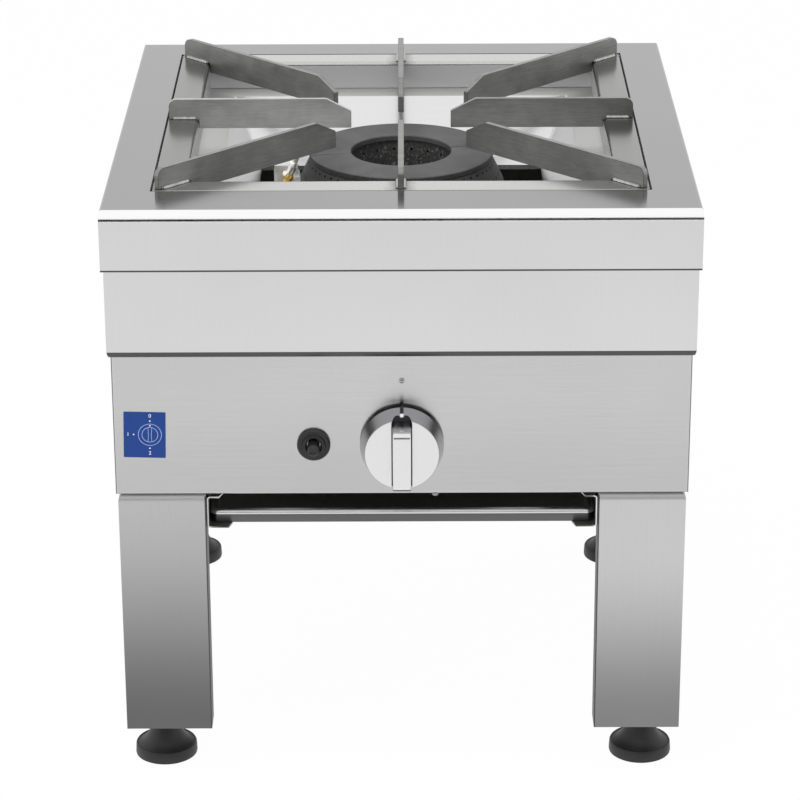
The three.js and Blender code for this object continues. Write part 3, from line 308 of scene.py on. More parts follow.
def carve(target, cutter_parts, finishes):
    """Cuts closed forms out of a piece with these finishes and keeps the result as its mesh. The cut faces take
    the finish whose number their form has."""
    cutter = piece("cutter", cutter_parts, finishes, "casing")
    cut = target.modifiers.new("cut", "BOOLEAN")
    cut.operation, cut.solver, cut.object = "DIFFERENCE", "EXACT", cutter
    bpy.context.view_layer.update()
    graph = bpy.context.evaluated_depsgraph_get()
    carved = bpy.data.meshes.new_from_object(target.evaluated_get(graph))
    target.modifiers.remove(cut)
    old, target.data = target.data, carved
    carved.name = target.name
    carved.shade_smooth()
    carved.set_sharp_from_angle(angle=math.radians(SHARP))
    scrap = cutter.data
    bpy.data.objects.remove(cutter)
    for mesh in (old, scrap):
        bpy.data.meshes.remove(mesh)


def drills(centres, directions, radius, length, count=10):
    """Cylinders of one size, one for each centre and direction: centre + length * direction + radius * circle."""
    directions = unit(np.array(directions, float))
    askew = (0.13, 0.21, 0.97)  # a direction that no drill takes
    side = unit(np.cross(directions, askew))
    up = np.cross(directions, side)
    angle = circle(count)[None, None, :, None]
    ends = np.array([-0.5, 0.5])[None, :, None, None] * length
    rims = np.cos(angle) * side[:, None, None] + np.sin(angle) * up[:, None, None]
    points = np.asarray(centres)[:, None, None] + ends * directions[:, None, None] + radius * rims
    first = np.arange(len(directions))[:, None] * 2 * count
    wall = (first[:, None] + quads(2, count, wrap_columns=True)[None]).reshape(-1, 4)
    ring = np.arange(count)
    return points.reshape(-1, 3), [wall, first + ring[::-1], first + count + ring]


def dress(key, slot, *names):
    """CAD nodes whose shape is right keep it and get a finish."""
    for name in names:
        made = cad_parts[name]
        made.data.materials.clear()
        made.data.materials.append(FINISHES[key])


# ---------------------------------------------------------------- materials


def node(tree, kind, inputs=None, **settings):
    """Adds a node with its settings. An input is a value, or the socket that is linked into it."""
    made = tree.nodes.new("ShaderNode" + kind)
    for key, value in settings.items():
        setattr(made, key, value)
    for key, value in (inputs or {}).items():
        if isinstance(value, bpy.types.NodeSocket):
            tree.links.new(value, made.inputs[key])
        else:
            made.inputs[key].default_value = value
    return made


class Finish:
    """A material in the making. Its methods add nodes over the object's coordinates, in metres, and take and
    give sockets."""

    def __init__(self, name, roughness, metallic, **sockets):
        self.material = bpy.data.materials.new(name)
        self.material.use_nodes = True
        self.tree = self.material.node_tree
        self.shader = self.tree.nodes["Principled BSDF"]
        for key, value in {"Roughness": roughness, "Metallic": metallic, **sockets}.items():
            self.shader.inputs[key.replace("_", " ")].default_value = value
        self.where = node(self.tree, "TexCoord").outputs["Object"]

    def noise(self, scale, detail, roughness=0.5, stretch=None):
        """Noise. With a stretch, it has that many steps to the metre along each axis instead."""
        where = self.where
        if stretch:
            where = node(self.tree, "Mapping", {"Vector": where, "Scale": stretch}).outputs[0]
        inputs = {"Vector": where, "Scale": scale, "Detail": detail, "Roughness": roughness}
        return node(self.tree, "TexNoise", inputs).outputs["Fac"]

    def mix(self, share, first, second, blend="MIX"):
        """Two colours, blended by a share of the second."""
        inputs = {"Fac": share, "Color1": first, "Color2": second}
        return node(self.tree, "MixRGB", inputs, blend_type=blend).outputs[0]

    def span(self, value, low, high, start=0.0, end=1.0, curve="LINEAR"):
        """The value goes from low to high while it goes from start to end itself."""
        inputs = {"Value": value, "From Min": start, "From Max": end, "To Min": low, "To Max": high}
        return node(self.tree, "MapRange", inputs, interpolation_type=curve).outputs[0]

    def math(self, operation, *values):
        """One number worked out from others."""
        return node(self.tree, "Math", dict(enumerate(values)), operation=operation).outputs[0]

    def times(self, colour, factor):
        """A colour made lighter or darker by a factor."""
        return node(self.tree, "VectorMath", {0: colour, 1: factor}, operation="MULTIPLY").outputs[0]

    def axes(self):
        """The object's coordinates, one by one."""
        return node(self.tree, "SeparateXYZ", {"Vector": self.where}).outputs

    def link(self, socket, key):
        """Puts a socket into the shader."""
        self.tree.links.new(socket, self.shader.inputs[key])

    def bump(self, height, strength, distance):
        """Raises the surface by a height, at most by the distance in metres."""
        inputs = {"Height": height, "Strength": strength, "Distance": distance}
        self.link(node(self.tree, "Bump", inputs).outputs[0], "Normal")


def brushed_stainless(name, colour, grain, roughness=0.3, low=None, contrast=0.05, metallic=1.0):
    """Stainless steel sheet ground with a belt: long fine scratches one way, wide reflections across them.
    Real scratches are about 0.1 mm apart; here they are 1.6 mm apart and 90 mm long, so that they show.
    With low, (colour, bottom, top) in metres, the sheet is painted darker towards its lower end, as shade."""
    steel = Finish(name, roughness, metallic, Anisotropic=0.75, Anisotropic_Rotation=0.25)
    steel.link(node(steel.tree, "CombineXYZ", {grain: 1.0}).outputs[0], "Tangent")
    scratch = steel.noise(1.0, 3.0, 0.6, [11.0 if axis == grain else 620.0 for axis in "XYZ"])
    cloud = steel.noise(9.0, 2.0)
    base = steel.mix(scratch, shade(colour, 1 - contrast), shade(colour, 1 + contrast))
    last = steel.mix(1.0, base, steel.mix(cloud, shade(WHITE, 0.94), WHITE), "MULTIPLY")
    # painted shade: the colour fades to the darker one towards the lower end
    if low:
        dark, bottom, top = low
        share = steel.span(steel.axes()["Z"], 0.0, 1.0, bottom, top, "SMOOTHSTEP")
        ratio = (*(d / c for d, c in zip(dark[:3], colour[:3])), 1.0)
        last = steel.mix(1.0, last, steel.mix(share, ratio, WHITE), "MULTIPLY")
    steel.link(last, "Base Color")
    steel.link(steel.span(scratch, roughness - 0.05, roughness + 0.05), "Roughness")
    steel.bump(scratch, 0.02, 0.0006)
    return steel.material


def mottled(name, roughness, metallic, dark, light, scale, detail, **sockets):
    """A finish of two colours that run into each other in clouds."""
    made = Finish(name, roughness, metallic, **sockets)
    made.link(made.mix(made.noise(scale, detail), dark, light), "Base Color")
    return made.material


def dull_inside():
    """The unpolished inner face of the sheets, painted dark as shade, in blotches 25 mm wide."""
    return mottled("mill_finish_inside", 0.7, 0.4, linear("484847"), linear("6C6B67"), 40.0, 4.0)


def weld_bead():
    """Ground-back weld metal: bright silver with darker hollows of 5 mm."""
    return mottled("weld_bead", 0.3, 1.0, linear("8E8D8B"), linear("D2D2D0"), 220.0, 2.0)


def glazed_ceramic():
    """White alumina with a clear glaze, faintly smoked: a hard gloss over a warm white."""
    return mottled("glazed_alumina", 0.18, 0.0, linear("E9E5DC"), linear("FBFAF6"), 150.0, 3.0,
                   Coat_Weight=0.5, Coat_Roughness=0.08)


def printed_plate(name, code):
    """Print on an aluminium plate: an even satin ink with a slight mottle of 2 mm."""
    return mottled(name, 0.42, 0.0, linear(code, 0.93), linear(code, 1.05), 500.0, 2.0, Specular_IOR_Level=0.3)


def bar_steel(name, dark, light):
    """Flat steel bar, ground lengthways and smudged by pans. Real scratches are about 0.1 mm apart; here they
    are 1.1 mm apart and 18 mm long, so that they show. The rubbed patches are 26 mm wide."""
    steel = Finish(name, 0.4, 0.85)
    scratch = steel.noise(1.0, 4.0, 0.65, (55.0, 55.0, 900.0))
    smudge = steel.noise(38.0, 5.0, 0.6)
    base = steel.mix(scratch, linear(dark), linear(light))
    steel.link(steel.times(base, steel.span(smudge, 0.8, 1.06, 0.3, 0.7)), "Base Color")
    steel.link(steel.span(smudge, 0.26, 0.5), "Roughness")
    steel.bump(scratch, 0.06, 0.0006)
    return steel.material


def strip_steel(centre):
    """The support's frame: strip with a fine mottle and with grey-brown heat marks that reach 6 to 26 mm from
    each weld. The welds lie where |x| or |y| is nought or where the two are equal, counted from the burner's
    middle. Real grain is about 0.1 mm; here it is 2.4 mm, so that it shows."""
    steel = Finish("welded_frame_strip", 0.36, 1.0)
    parts = steel.axes()
    x = steel.math("ABSOLUTE", parts["X"])
    y = steel.math("ABSOLUTE", steel.math("ADD", parts["Y"], -centre))
    diagonal = steel.math("ABSOLUTE", steel.math("SUBTRACT", x, y))
    nearest = steel.math("MINIMUM", steel.math("MINIMUM", x, y), diagonal)
    edge = steel.span(steel.noise(90.0, 4.0, 0.6), 0.006, 0.026)
    mark = steel.span(nearest, 0.55, 0.0, 0.004, edge)
    # painted shade: the left and right strips are darker than the front and rear ones
    sheen = steel.mix(steel.math("GREATER_THAN", x, y), linear("CACAC9"), linear("8F8F8E"))
    base = steel.times(sheen, steel.span(steel.noise(420.0, 3.0), 0.88, 1.08))
    steel.link(steel.mix(mark, base, linear("6F6C68")), "Base Color")
    steel.link(steel.span(mark, 0.2, 0.5), "Roughness")
    return steel.material


def cast_iron(name, dark, light, roughness, grit=700.0, specks=0.0):
    """Grey cast iron: a sandy skin, and pale spots painted where its grains would catch the light, as painted glints.
    Real grains are about
    0.5 mm; here they are 1.4 to 1.9 mm and the glints 3 mm, so that they show."""
    iron = Finish(name, roughness, 0.35)
    sand, cloud = iron.noise(grit, 4.0, 0.7), iron.noise(45.0, 3.0)
    tone = iron.mix(iron.span(sand, 0.0, 1.0, 0.3, 0.7), linear(dark), linear(light))
    last = iron.times(tone, iron.span(cloud, 0.85, 1.1, 0.3, 0.7))
    if specks:
        # painted glints: pale spots mixed over the iron
        share = iron.span(iron.noise(330.0, 3.0, 0.7), 0.0, specks, 0.56, 0.68)
        last = iron.mix(share, last, linear("B4B4B2"))
    iron.link(last, "Base Color")
    iron.bump(iron.math("MULTIPLY_ADD", sand, cloud, -0.25), 0.35, 0.0004)
    return iron.material


def plated(name, code, roughness, ripple=0.0):
    """Plated zinc casting with a faint grain of 1.1 mm: polished where it is bright, blasted to a satin where
    the roughness is high."""
    metal = Finish(name, roughness, 1.0)
    grain = metal.noise(900.0, 2.0)
    metal.link(metal.mix(grain, linear(code, 0.96), linear(code, 1.04)), "Base Color")
    metal.link(metal.span(grain, roughness * 0.85, roughness * 1.15), "Roughness")
    if ripple:
        metal.bump(grain, ripple, 0.0003)
    return metal.material


def moulded(name, dark, light, roughness):
    """Moulded plastic or rubber with a fine leathery mould grain of 0.8 mm, paler where it is handled."""
    nylon = Finish(name, roughness, 0.0)
    grain = node(nylon.tree, "TexVoronoi", {"Vector": nylon.where, "Scale": 1250.0})
    nylon.link(nylon.mix(nylon.noise(60.0, 4.0), linear(dark), linear(light)), "Base Color")
    nylon.bump(grain.outputs["Distance"], 0.12, 0.0003)
    return nylon.material


def turned_metal(name, code, roughness, tarnish):
    """Turned or drawn metal: brass, copper or steel with a thin tarnish in blotches 8 mm wide."""
    metal = Finish(name, roughness, 1.0)
    blotch = metal.noise(120.0, 4.0)
    share = metal.span(blotch, 0.0, 1.0, 0.42, 0.75)
    metal.link(metal.mix(share, linear(code), linear(tarnish)), "Base Color")
    metal.link(metal.span(blotch, roughness * 0.7, roughness * 1.5), "Roughness")
    return metal.material


def make_finishes(look):
    """Fills FINISHES: the finish of each surface, some with light or shade painted in, under the name that piece() and
    dress() take.
    """
    top, nose, apron, panel, leg, pan, tray = (
        (*getattr(look, key), 1.0) for key in ("top", "nose", "apron", "panel", "leg", "pan", "tray"))
    leg_low, leg_high = (corner.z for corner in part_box("leg_front_left"))
    panel_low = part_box("control_panel")[0].z
    # painted shade: the control panel and the legs turn darker towards their lower ends
    panel_fade = (linear("C6C6C6"), panel_low, panel_low + 0.12)
    leg_fade, lit_fade = (linear("747475"), leg_low, leg_high), (linear("8E8E8F"), leg_low, leg_high - 0.06)
    # lit is a lighter copy of the leg steel for the right-hand legs: painted light
    lit, roll, wall = linear("D6D6D6"), linear("CDCDCD"), linear("D0D0D0")
    FINISHES.update(
        top=brushed_stainless("brushed_worktop", top, "X", 0.17),
        # the near-white front bend of the worktop is a painted highlight
        nose=brushed_stainless("ground_nose", nose, "X", 0.14, contrast=0.02),
        apron=brushed_stainless("brushed_apron", apron, "Z", 0.32, contrast=0.03),
        # a dark copy of the steel for the skirt's lowest edge and the apron's rolled lip: painted shade
        lip=brushed_stainless("rolled_lip", linear("5C5C5C"), "X", 0.3),
        panel=brushed_stainless("brushed_panel", panel, "X", 0.22, panel_fade, 0.07),
        side=brushed_stainless("brushed_side", panel, "Y", 0.26),
        leg=brushed_stainless("brushed_leg", leg, "Z", 0.44, leg_fade),
        leg_right=brushed_stainless("brushed_leg_lit", lit, "Z", 0.44, lit_fade),
        leg_bend=brushed_stainless("rolled_leg_bend", roll, "Z", 0.6, contrast=0.03, metallic=0.75),
        # a dark copy of the leg steel for the legs' inner returns: painted shade
        leg_return=brushed_stainless("brushed_return", linear("565656"), "Z", 0.4),
        pan=brushed_stainless("rolled_pan", pan, "X", 0.24, contrast=0.03),
        pan_wall=brushed_stainless("rolled_pan_wall", wall, "X", 0.5, contrast=0.03, metallic=0.6),
        pan_ledge=brushed_stainless("rolled_pan_ledge", linear("D0D0CF"), "X", 0.42, contrast=0.03),
        tray=brushed_stainless("rolled_tray", tray, "X", 0.3, contrast=0.04),
        # darker copies of the tray steel for its outer walls and its inside: painted shade
        tray_face=brushed_stainless("rolled_tray_face", linear("767676"), "X", 0.45, contrast=0.03),
        tray_inside=brushed_stainless("rolled_tray_inside", linear("7E7E7D"), "X", 0.4),
        # a dark steel for the leg plates and the air shutter, and for the panels' side bends, where it is painted
        # shade
        rail=brushed_stainless("rolled_rail", linear("7C7C7B"), "X", 0.42),
        inside=dull_inside(),
        bar=bar_steel("ground_flat_bar", "7A7A79", "ACACAB"),
        # a lighter copy of the bar steel for the left bar: painted light
        pale_bar=bar_steel("pale_flat_bar", "A6A6A5", "D8D8D7"),
        # a dark copy of the bar steel for the bevels: painted shade along the edges
        bar_edge=bar_steel("dark_bar_edge", "3C3C3B", "5A5A59"),
        strip=strip_steel(sum(corner.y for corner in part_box("pot_support_frame")) / 2),
        weld=weld_bead(),
        cap=cast_iron("machined_iron_cap", "4A4A4A", "606060", 0.55),
        iron=cast_iron("sand_cast_iron", "262626", "4C4C4B", 0.6, 520.0),
        rough_iron=cast_iron("rough_cast_iron", "222222", "4C4C4B", 0.5, 520.0, 0.42),
        bright=plated("polished_plating", "B4B4B6", 0.1),
        # a dark copy of the plating for the knob's channel walls, rib and grip end: painted shade
        groove=plated("shaded_plating", "4A4A4C", 0.45),
        satin=plated("satin_plating", "E8E8E8", 0.26, 0.05),
        black=moulded("black_nylon", "0C0C0C", "232323", 0.36),
        foot=moulded("foot_nylon", "181818", "2E2E2F", 0.5),
        jacket=moulded("silicone_jacket", "1A1A1A", "2A2A2A", 0.6),
        brass=turned_metal("turned_brass", "D9B25A", 0.22, "A97F2F"),
        copper=turned_metal("drawn_copper", "C98A5C", 0.3, "7E5233"),
        steel=turned_metal("drawn_steel", "B4B4B2", 0.26, "7C7A75"),
        alloy=turned_metal("die_cast_alloy", "D6D6D6", 0.4, "BDBCBA"),
        ceramic=glazed_ceramic(),
        blue=printed_plate("blue_ink", "153D84"),
        pale_blue=printed_plate("pale_blue_ink", "A6B8EA"),
        cream=printed_plate("cream_ink", "E6E9F4"),
    )


# ---------------------------------------------------------------- settings


class RangeLook(bpy.types.PropertyGroup):
    """Colours of the steel sheets."""

    top: FloatVectorProperty(
        name="Worktop", description="Colour of the worktop's steel",
        subtype="COLOR", size=3, min=0, max=1, default=linear("9E9E9E")[:3])
    # near white: a painted highlight
    nose: FloatVectorProperty(
        name="Nose", description="Colour of the worktop's front bend",
        subtype="COLOR", size=3, min=0, max=1, default=linear("FEFEFE")[:3])
    apron: FloatVectorProperty(
        name="Apron", description="Colour of the skirt and upper casing",
        subtype="COLOR", size=3, min=0, max=1, default=linear("E0E0E0")[:3])
    panel: FloatVectorProperty(
        name="Panel", description="Colour of the body panels",
        subtype="COLOR", size=3, min=0, max=1, default=linear("D0D0D0")[:3])
    leg: FloatVectorProperty(
        name="Legs", description="Colour of the legs at their top",
        subtype="COLOR", size=3, min=0, max=1, default=linear("CACACA")[:3])
    pan: FloatVectorProperty(
        name="Pan", description="Colour of the spill pan",
        subtype="COLOR", size=3, min=0, max=1, default=linear("E8E8E8")[:3])
    tray: FloatVectorProperty(
        name="Tray", description="Colour of the drip tray and runners",
        subtype="COLOR", size=3, min=0, max=1, default=linear("EAEAEA")[:3])


class RangeSizes(bpy.types.PropertyGroup):
    """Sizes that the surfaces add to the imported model."""

    sheet: FloatProperty(
        name="Sheet", description="Thickness of the steel sheet in millimetres", default=1.5, min=0.8, max=3)
    nose: FloatProperty(
        name="Nose radius", description="Radius of the worktop's front bend in millimetres",
        default=9.5, min=3, max=15)
    edge: FloatProperty(
        name="Edge radius", description="Radius of the worktop's side bends in millimetres",
        default=3, min=1, max=8)
    weld: FloatProperty(
        name="Weld", description="Width of a weld bead in millimetres", default=3, min=1, max=5)
    ports: IntProperty(
        name="Ports", description="Number of ports in each of the burner's rows", default=60, min=12, max=90)
    port: FloatProperty(
        name="Port diameter", description="Diameter of a burner port in millimetres", default=2.6, min=1, max=5)


class RangeStage(bpy.types.PropertyGroup):
    """The floor, the light and the camera."""

    lens: FloatProperty(
        name="Lens", description="Focal length on a 36 mm sensor, in millimetres", unit="CAMERA",
        default=142.5, min=20, max=400)
    pitch: FloatProperty(
        name="Pitch", description="How far the camera looks down", subtype="ANGLE", unit="ROTATION",
        default=math.radians(21.934))
    sky: FloatProperty(
        name="Sky", description="Strength of the even light on matt surfaces", default=0.62, min=0, max=2)
    key: FloatProperty(
        name="Key", description="Power of the soft light above, in watts", unit="POWER",
        default=34, min=0, max=500)


# ---------------------------------------------------------------- casing

LEVEL = 0.01  # what lies further than this below a flat, in millimetres, belongs to its bend


def make_worktop(sizes):
    """The worktop is one folded sheet: along X and along Y the section is a bent line, and the height at each
    point is the lower of the two. The opening is the cell between its four edges."""
    low, high = extent("worktop")
    gap = 2.0  # between the opening and the pan support
    opening = [corner + step for corner, step in zip(extent("pot_support_frame"), (-gap, gap))]
    top, rim = high[2], low[2] + 1.7  # the rim is the lowest 1.7 mm of the skirt, painted dark as shade under its edge

    def section(axis, first_bend, steps):
        start, end = low[axis], high[axis]
        return rounded([(start, low[2]), (start, rim), (start, top, first_bend), (opening[0][axis], top),
                        (opening[1][axis], top), (end, top, sizes.edge), (end, rim), (end, low[2])], steps, False)

    points, cells = folded(section(0, sizes.edge, 5), section(1, sizes.nose, 10), (0, 1, 2), np.minimum)
    x, y, z = points[cells].mean(1).T
    front_bend = low[1] + sizes.nose
    hole = (abs(x) < opening[1][0]) & (y > opening[0][1]) & (y < opening[1][1]) & (z > top - 1)
    nose = ~hole & (y < front_bend) & (z < top - LEVEL) & (z > top - sizes.nose)
    skirt = ~hole & ~nose & (z < top - (LEVEL + sizes.edge * (y > front_bend)))
    # one steel in three tones: the near-white bend is a painted highlight, and the top is painted darker than the
    # skirt, as shade
    parts = split(points, cells, ~(hole | nose | skirt), nose, skirt & (z >= rim), skirt & (z < rim))
    piece("worktop_sheet", parts, ["top", "nose", "apron", "lip", "inside"], "casing", ["worktop"],
          shell=sizes.sheet)


def make_apron(sizes):
    """The upper casing: level rectangles from a flange under the worktop, over a quarter bend, down the wall
    and round a rolled lower edge: inset = a + (b - a) cos t, height = lip (1 - sin t)."""
    low, high = extent("upper_casing")
    inset, lip, flange, tight = 2.5, 9.0, 20.5, 0.4  # tight is the corner radius where the form is narrowest
    thick, nose = sizes.sheet, sizes.nose
    side, front = 5.5 - SEAT, 10 - SEAT  # insets of the lower edge, against the panels
    half, depth = high[0] + inset, high[1] - low[1] + 2 * inset
    t = np.linspace(0, math.pi / 2, 9)
    rise, fall = 1 - np.sin(t), 1 - np.cos(t)

    def level(side_inset, front_inset, height, corner=tight):
        rows = np.broadcast_arrays(side_inset, front_inset, height, corner)
        return np.c_[half - rows[0], rows[1], depth - rows[1], rows[2], rows[3]]

    def even(inset_, height, corner=tight):
        return level(inset_, inset_, height, corner)

    upper = even(inset + (nose - inset) * rise, high[2] - (nose - thick - SEAT) * fall, tight + 1.2 * np.sin(t))
    lower = level(inset + (side - inset) * fall, inset + (front - inset) * fall, low[2] + lip * rise,
                  1.6 - 1.2 * fall)
    inner = [level(side, front, low[2] + thick), even(inset + thick, low[2] + lip),
             even(inset + thick, high[2] - nose), even(nose + 1, high[2] - thick), even(flange, high[2] - thick)]
    rows = np.vstack([even(flange, high[2]), upper, lower, *inner])
    points, (faces,) = loft(rows, steps=3)
    row = row_of(faces, points, len(rows))
    inside = row > len(rows) - len(inner) - 1
    # the rolled lower edge takes the dark lip steel: painted shade
    rolled = ~inside & (row > len(upper) + 1)
    piece("upper_casing_sheet", split(points, faces, ~(inside | rolled), rolled, inside),
          ["apron", "lip", "inside"], "casing", ["upper_casing"])


def make_panel(name, sizes, inward):
    """A front or back panel: returns at its sides and a flange below. The depth at each point is the one of
    the two bent lines, across and upwards, that lies further in. The bends at the sides are painted darker, as shade."""
    low, high = extent(name)
    bend = 3
    face, far = (low[1], high[1])[::inward]
    across = rounded([(low[0], far), (low[0], face, bend), (high[0], face, bend), (high[0], far)], 5, False)
    upwards = rounded([(low[2], far), (low[2], face, bend), (high[2], face)], 5, False)
    points, cells = folded(across, upwards, (0, 2, 1), np.maximum if inward > 0 else np.minimum)
    x, y, _ = points[cells].mean(1).T
    corner = (abs(x) > high[0] - 1.4) & (abs(y - face) < bend)
    piece(f"{name}_sheet", split(points, cells, ~corner, corner), ["panel", "rail", "inside"], "casing", [name],
          shell=sizes.sheet)


def make_side_panel(name, side, sizes):
    """A bent sheet carried from the front panel's return to the back panel's."""
    low, high = extent(name)
    flange, face = (low[0], high[0])[::side]
    line = rounded([(face, high[2]), (face, low[2], 3), (flange, low[2])], 5, False)
    outline = sheet(line[::-side], sizes.sheet)
    piece(f"{name}_sheet", [prism(outline, 1, low[1], high[1])], ["side"], "casing", [name],
          bevel=0.25)


def pan_head(x, y, z, radius, tall):
    """A screw's pan head that hangs under a flange: a low dome with a dished recess."""
    rim = np.linspace(0, math.pi / 2, 6)
    dome = np.c_[radius * np.cos(rim), tall * (0.25 + 0.75 * np.sin(rim))]
    recess = [(radius * 0.35, tall * 0.9), (radius * 0.3, tall * 0.5), (0, tall * 0.45)]
    return lathe(np.vstack([[(0, 0), (radius, 0)], dome[:-2], recess]), 18, (x, y, z), (0, 0, -1))


class RANGE_OT_casing(bpy.types.Operator):
    """Builds the worktop, the upper casing and the four body panels"""

    bl_idname = "stock_range.casing"
    bl_label = "Casing"

    def execute(self, context):
        sizes = context.scene.range_sizes
        make_worktop(sizes)
        make_apron(sizes)
        make_panel("control_panel", sizes, 1)
        make_panel("back_panel", sizes, -1)
        make_side_panel("side_panel_left", -1, sizes)
        make_side_panel("side_panel_right", 1, sizes)
        low, _ = extent("control_panel")
        screw_x, behind = 33, 5  # place of the one screw whose head shows below the panel
        piece("panel_screw", [pan_head(screw_x, low[1] + behind, low[2], 4.0, 4.0)], ["steel"], "casing")
        return {"FINISHED"}


# ---------------------------------------------------------------- legs, feet, runners and tray


def make_leg(name, side, end):
    """A folded leg: each of its two lines climbs the outer face, bends at the top and drops down the inner
    face, and the height is the lower of the two. The inner faces keep only their returns."""
    low, high = extent(name)
    returns, bend, thick = 30.0, 8, 2.0
    outer_x, inner_x = (low[0], high[0])[::-side]
    outer_y, inner_y = (low[1], high[1])[::-end]

    def line(outer, inner, toward):
        return rounded([(outer, low[2]), (outer, high[2], bend), (outer + toward * returns, high[2]),
                        (inner, high[2], 2), (inner, low[2])], 7, False)

    points, cells = folded(line(outer_x, inner_x, -side), line(outer_y, inner_y, -end), (0, 1, 2), np.minimum)
    x, y, z = points[cells].mean(1).T
    wall = z < high[2] - 3
    kept = ~(wall & (abs(x - outer_x) > returns) & (abs(y - outer_y) > returns))
    # the inner returns take the dark copy of the steel: painted shade
    inner = wall & ((abs(x - inner_x) < 1) | (abs(y - inner_y) < 1))
    curved = ~wall | (z > high[2] - bend)
    # the right-hand legs take the lighter copy of the steel: painted light
    piece(f"{name}_sheet", split(points, cells, kept & ~inner & ~curved, kept & inner, kept & ~inner & curved),
          ["leg" if side < 0 else "leg_right", "leg_return", "leg_bend", "inside"], "casing", [name],
          shell=thick)
    near, far = thick + 0.2, abs(inner_x - outer_x) - thick - 0.2
    u = np.array([near, far, far, returns, near])
    v = np.array([near, near, returns, far, far])
    plate = np.c_[outer_x - side * u, outer_y - end * v]
    piece(f"{name}_plate", [prism(plate, 2, low[2] + 0.4, low[2] + 3)], ["rail"], "casing",
          bevel=0.3)


def make_foot(name):
    """A levelling foot, turned: an upright rim, then a hollow cone whose height grows with the cube of the
    way in from the rim, height = rim + rise (t / 4 + 3 t^3 / 4), a short neck and a plain stud."""
    low, high = extent(name)
    x, y, _ = centre_of(name)
    radius, rim, neck, stud, leg_bottom = (high[0] - low[0]) / 2, 12.4, 12.0, 5, extent("leg_front_left")[0][2]
    shoulder, top = radius - 2.6, leg_bottom - SEAT
    t = np.linspace(0, 1, 12)
    cone = np.c_[shoulder - (shoulder - neck) * t, rim - 0.6 + (leg_bottom - rim - 6) * (0.25 * t + 0.75 * t ** 3)]
    pad = [(0, 0), (radius - 1.4, 0), (radius - 0.3, 0.7), (radius, 2), (radius - 0.5, rim - 1.4), (radius - 1.3, rim)]
    profile = np.vstack([pad, cone, [(neck, top), (stud, top), (stud, high[2] - 1), (4, high[2]), (0, high[2])]])
    metal_row = np.r_[False, profile[1:, 1] > leg_bottom - 1]
    points, (faces,) = lathe(profile, 48, (x, y, 0), UP)
    metal = metal_row[row_of(faces, points, len(profile))]
    piece(f"{name}_turned", split(points, faces, ~metal, metal), ["foot", "steel"], name, [name],
          angle=38)


def make_runner(name, side, sizes):
    """A channel whose flanges have their corners cut back: past the start of the cut, 4 mm short of the tip,
    each end moves in by 11 mm for every 4 mm."""
    low, high = extent(name)
    tip, web = (low[0], high[0])[::side]
    flange, across, along = np.array([16.0, 25.0]), 4.0, 11.0
    upper, lower = web - side * (flange - across)
    line = rounded([(web - side * flange[0], high[2]), (upper, high[2]), (web, high[2], 3), (web, low[2], 3),
                    (lower, low[2]), (tip, low[2])], 5, False)
    outline = sheet(line, -side * sizes.sheet)
    start = np.where(outline[:, 1] > (low[2] + high[2]) / 2, upper, lower)
    cut = along / across * np.clip((start - outline[:, 0]) * side, 0, across)
    points, (walls, *ends) = prism(outline, 1, low[1] + cut, high[1] - cut)
    inner = walls.min(1) >= len(line)
    # the channel's inner faces take the dark inside finish: painted shade
    inner[-1] = False
    piece(f"{name}_channel", [(points, [walls[~inner], *ends], 0), (points, [walls[inner]], 1)],
          ["tray", "inside"], "casing", [name], bevel=0.2)


def make_tray(sizes):
    """The drip tray: rounded rectangles down the outside, round a hemmed rim and down the inside. The hem is a
    quarter round: inset = h (1 - cos t), height = top - h (1 - sin t)."""
    low, high = extent("drip_tray")
    rim, s, r, hem, floor = 5.0, sizes.sheet, 3.0, 3.2, 1.2  # floor is the bend between the walls and the floor

    def level(inset, height, corner):
        return (high[0] - inset, low[1] + inset, high[1] - inset, height, corner)

    face = [level(rim, low[2], r - 1), level(rim - 1, low[2] + floor, r), level(rim - 1, high[2] - hem - 0.6, r)]
    edge = [level(hem * (1 - math.cos(t)), high[2] - hem * (1 - math.sin(t)), r + rim)
            for t in np.linspace(-0.3, math.pi / 2, 8)]
    inside = [level(rim + s - 0.6, high[2], r - 0.6), level(rim + s, high[2] - 0.8, r - s),
              level(rim + s, low[2] + s + floor, r - s), level(rim + s + floor, low[2] + s, r - s - 0.6)]
    rows = face + edge + inside
    points, (walls, *ends) = loft(rows, 5, closed=False)
    row = row_of(walls, points, len(rows))
    outer, inner = row < len(face) - 1, row >= len(face) + len(edge)
    # the outer walls and the inside take the darker copies of the tray steel: painted shade
    parts = [(points, [walls[~(outer | inner)]], 0), (points, [walls[outer], ends[0]], 1),
             (points, [walls[inner], ends[1]], 2)]
    piece("drip_tray_pressing", parts, ["tray", "tray_face", "tray_inside"], "drip_tray", ["drip_tray"],
          angle=50)


class RANGE_OT_legs(bpy.types.Operator):
    """Builds the four legs and their levelling feet"""

    bl_idname = "stock_range.legs"
    bl_label = "Legs and Feet"

    def execute(self, context):
        for end_name, end in (("front", -1), ("rear", 1)):
            for side_name, side in (("left", -1), ("right", 1)):
                make_leg(f"leg_{end_name}_{side_name}", side, end)
                make_foot(f"foot_{end_name}_{side_name}")
        return {"FINISHED"}


class RANGE_OT_tray(bpy.types.Operator):
    """Builds the drip tray and its two runners"""

    bl_idname = "stock_range.tray"
    bl_label = "Drip Tray"

    def execute(self, context):
        sizes = context.scene.range_sizes
        make_runner("tray_runner_left", -1, sizes)
        make_runner("tray_runner_right", 1, sizes)
        make_tray(sizes)
        return {"FINISHED"}


# ---------------------------------------------------------------- spill pan and pan support


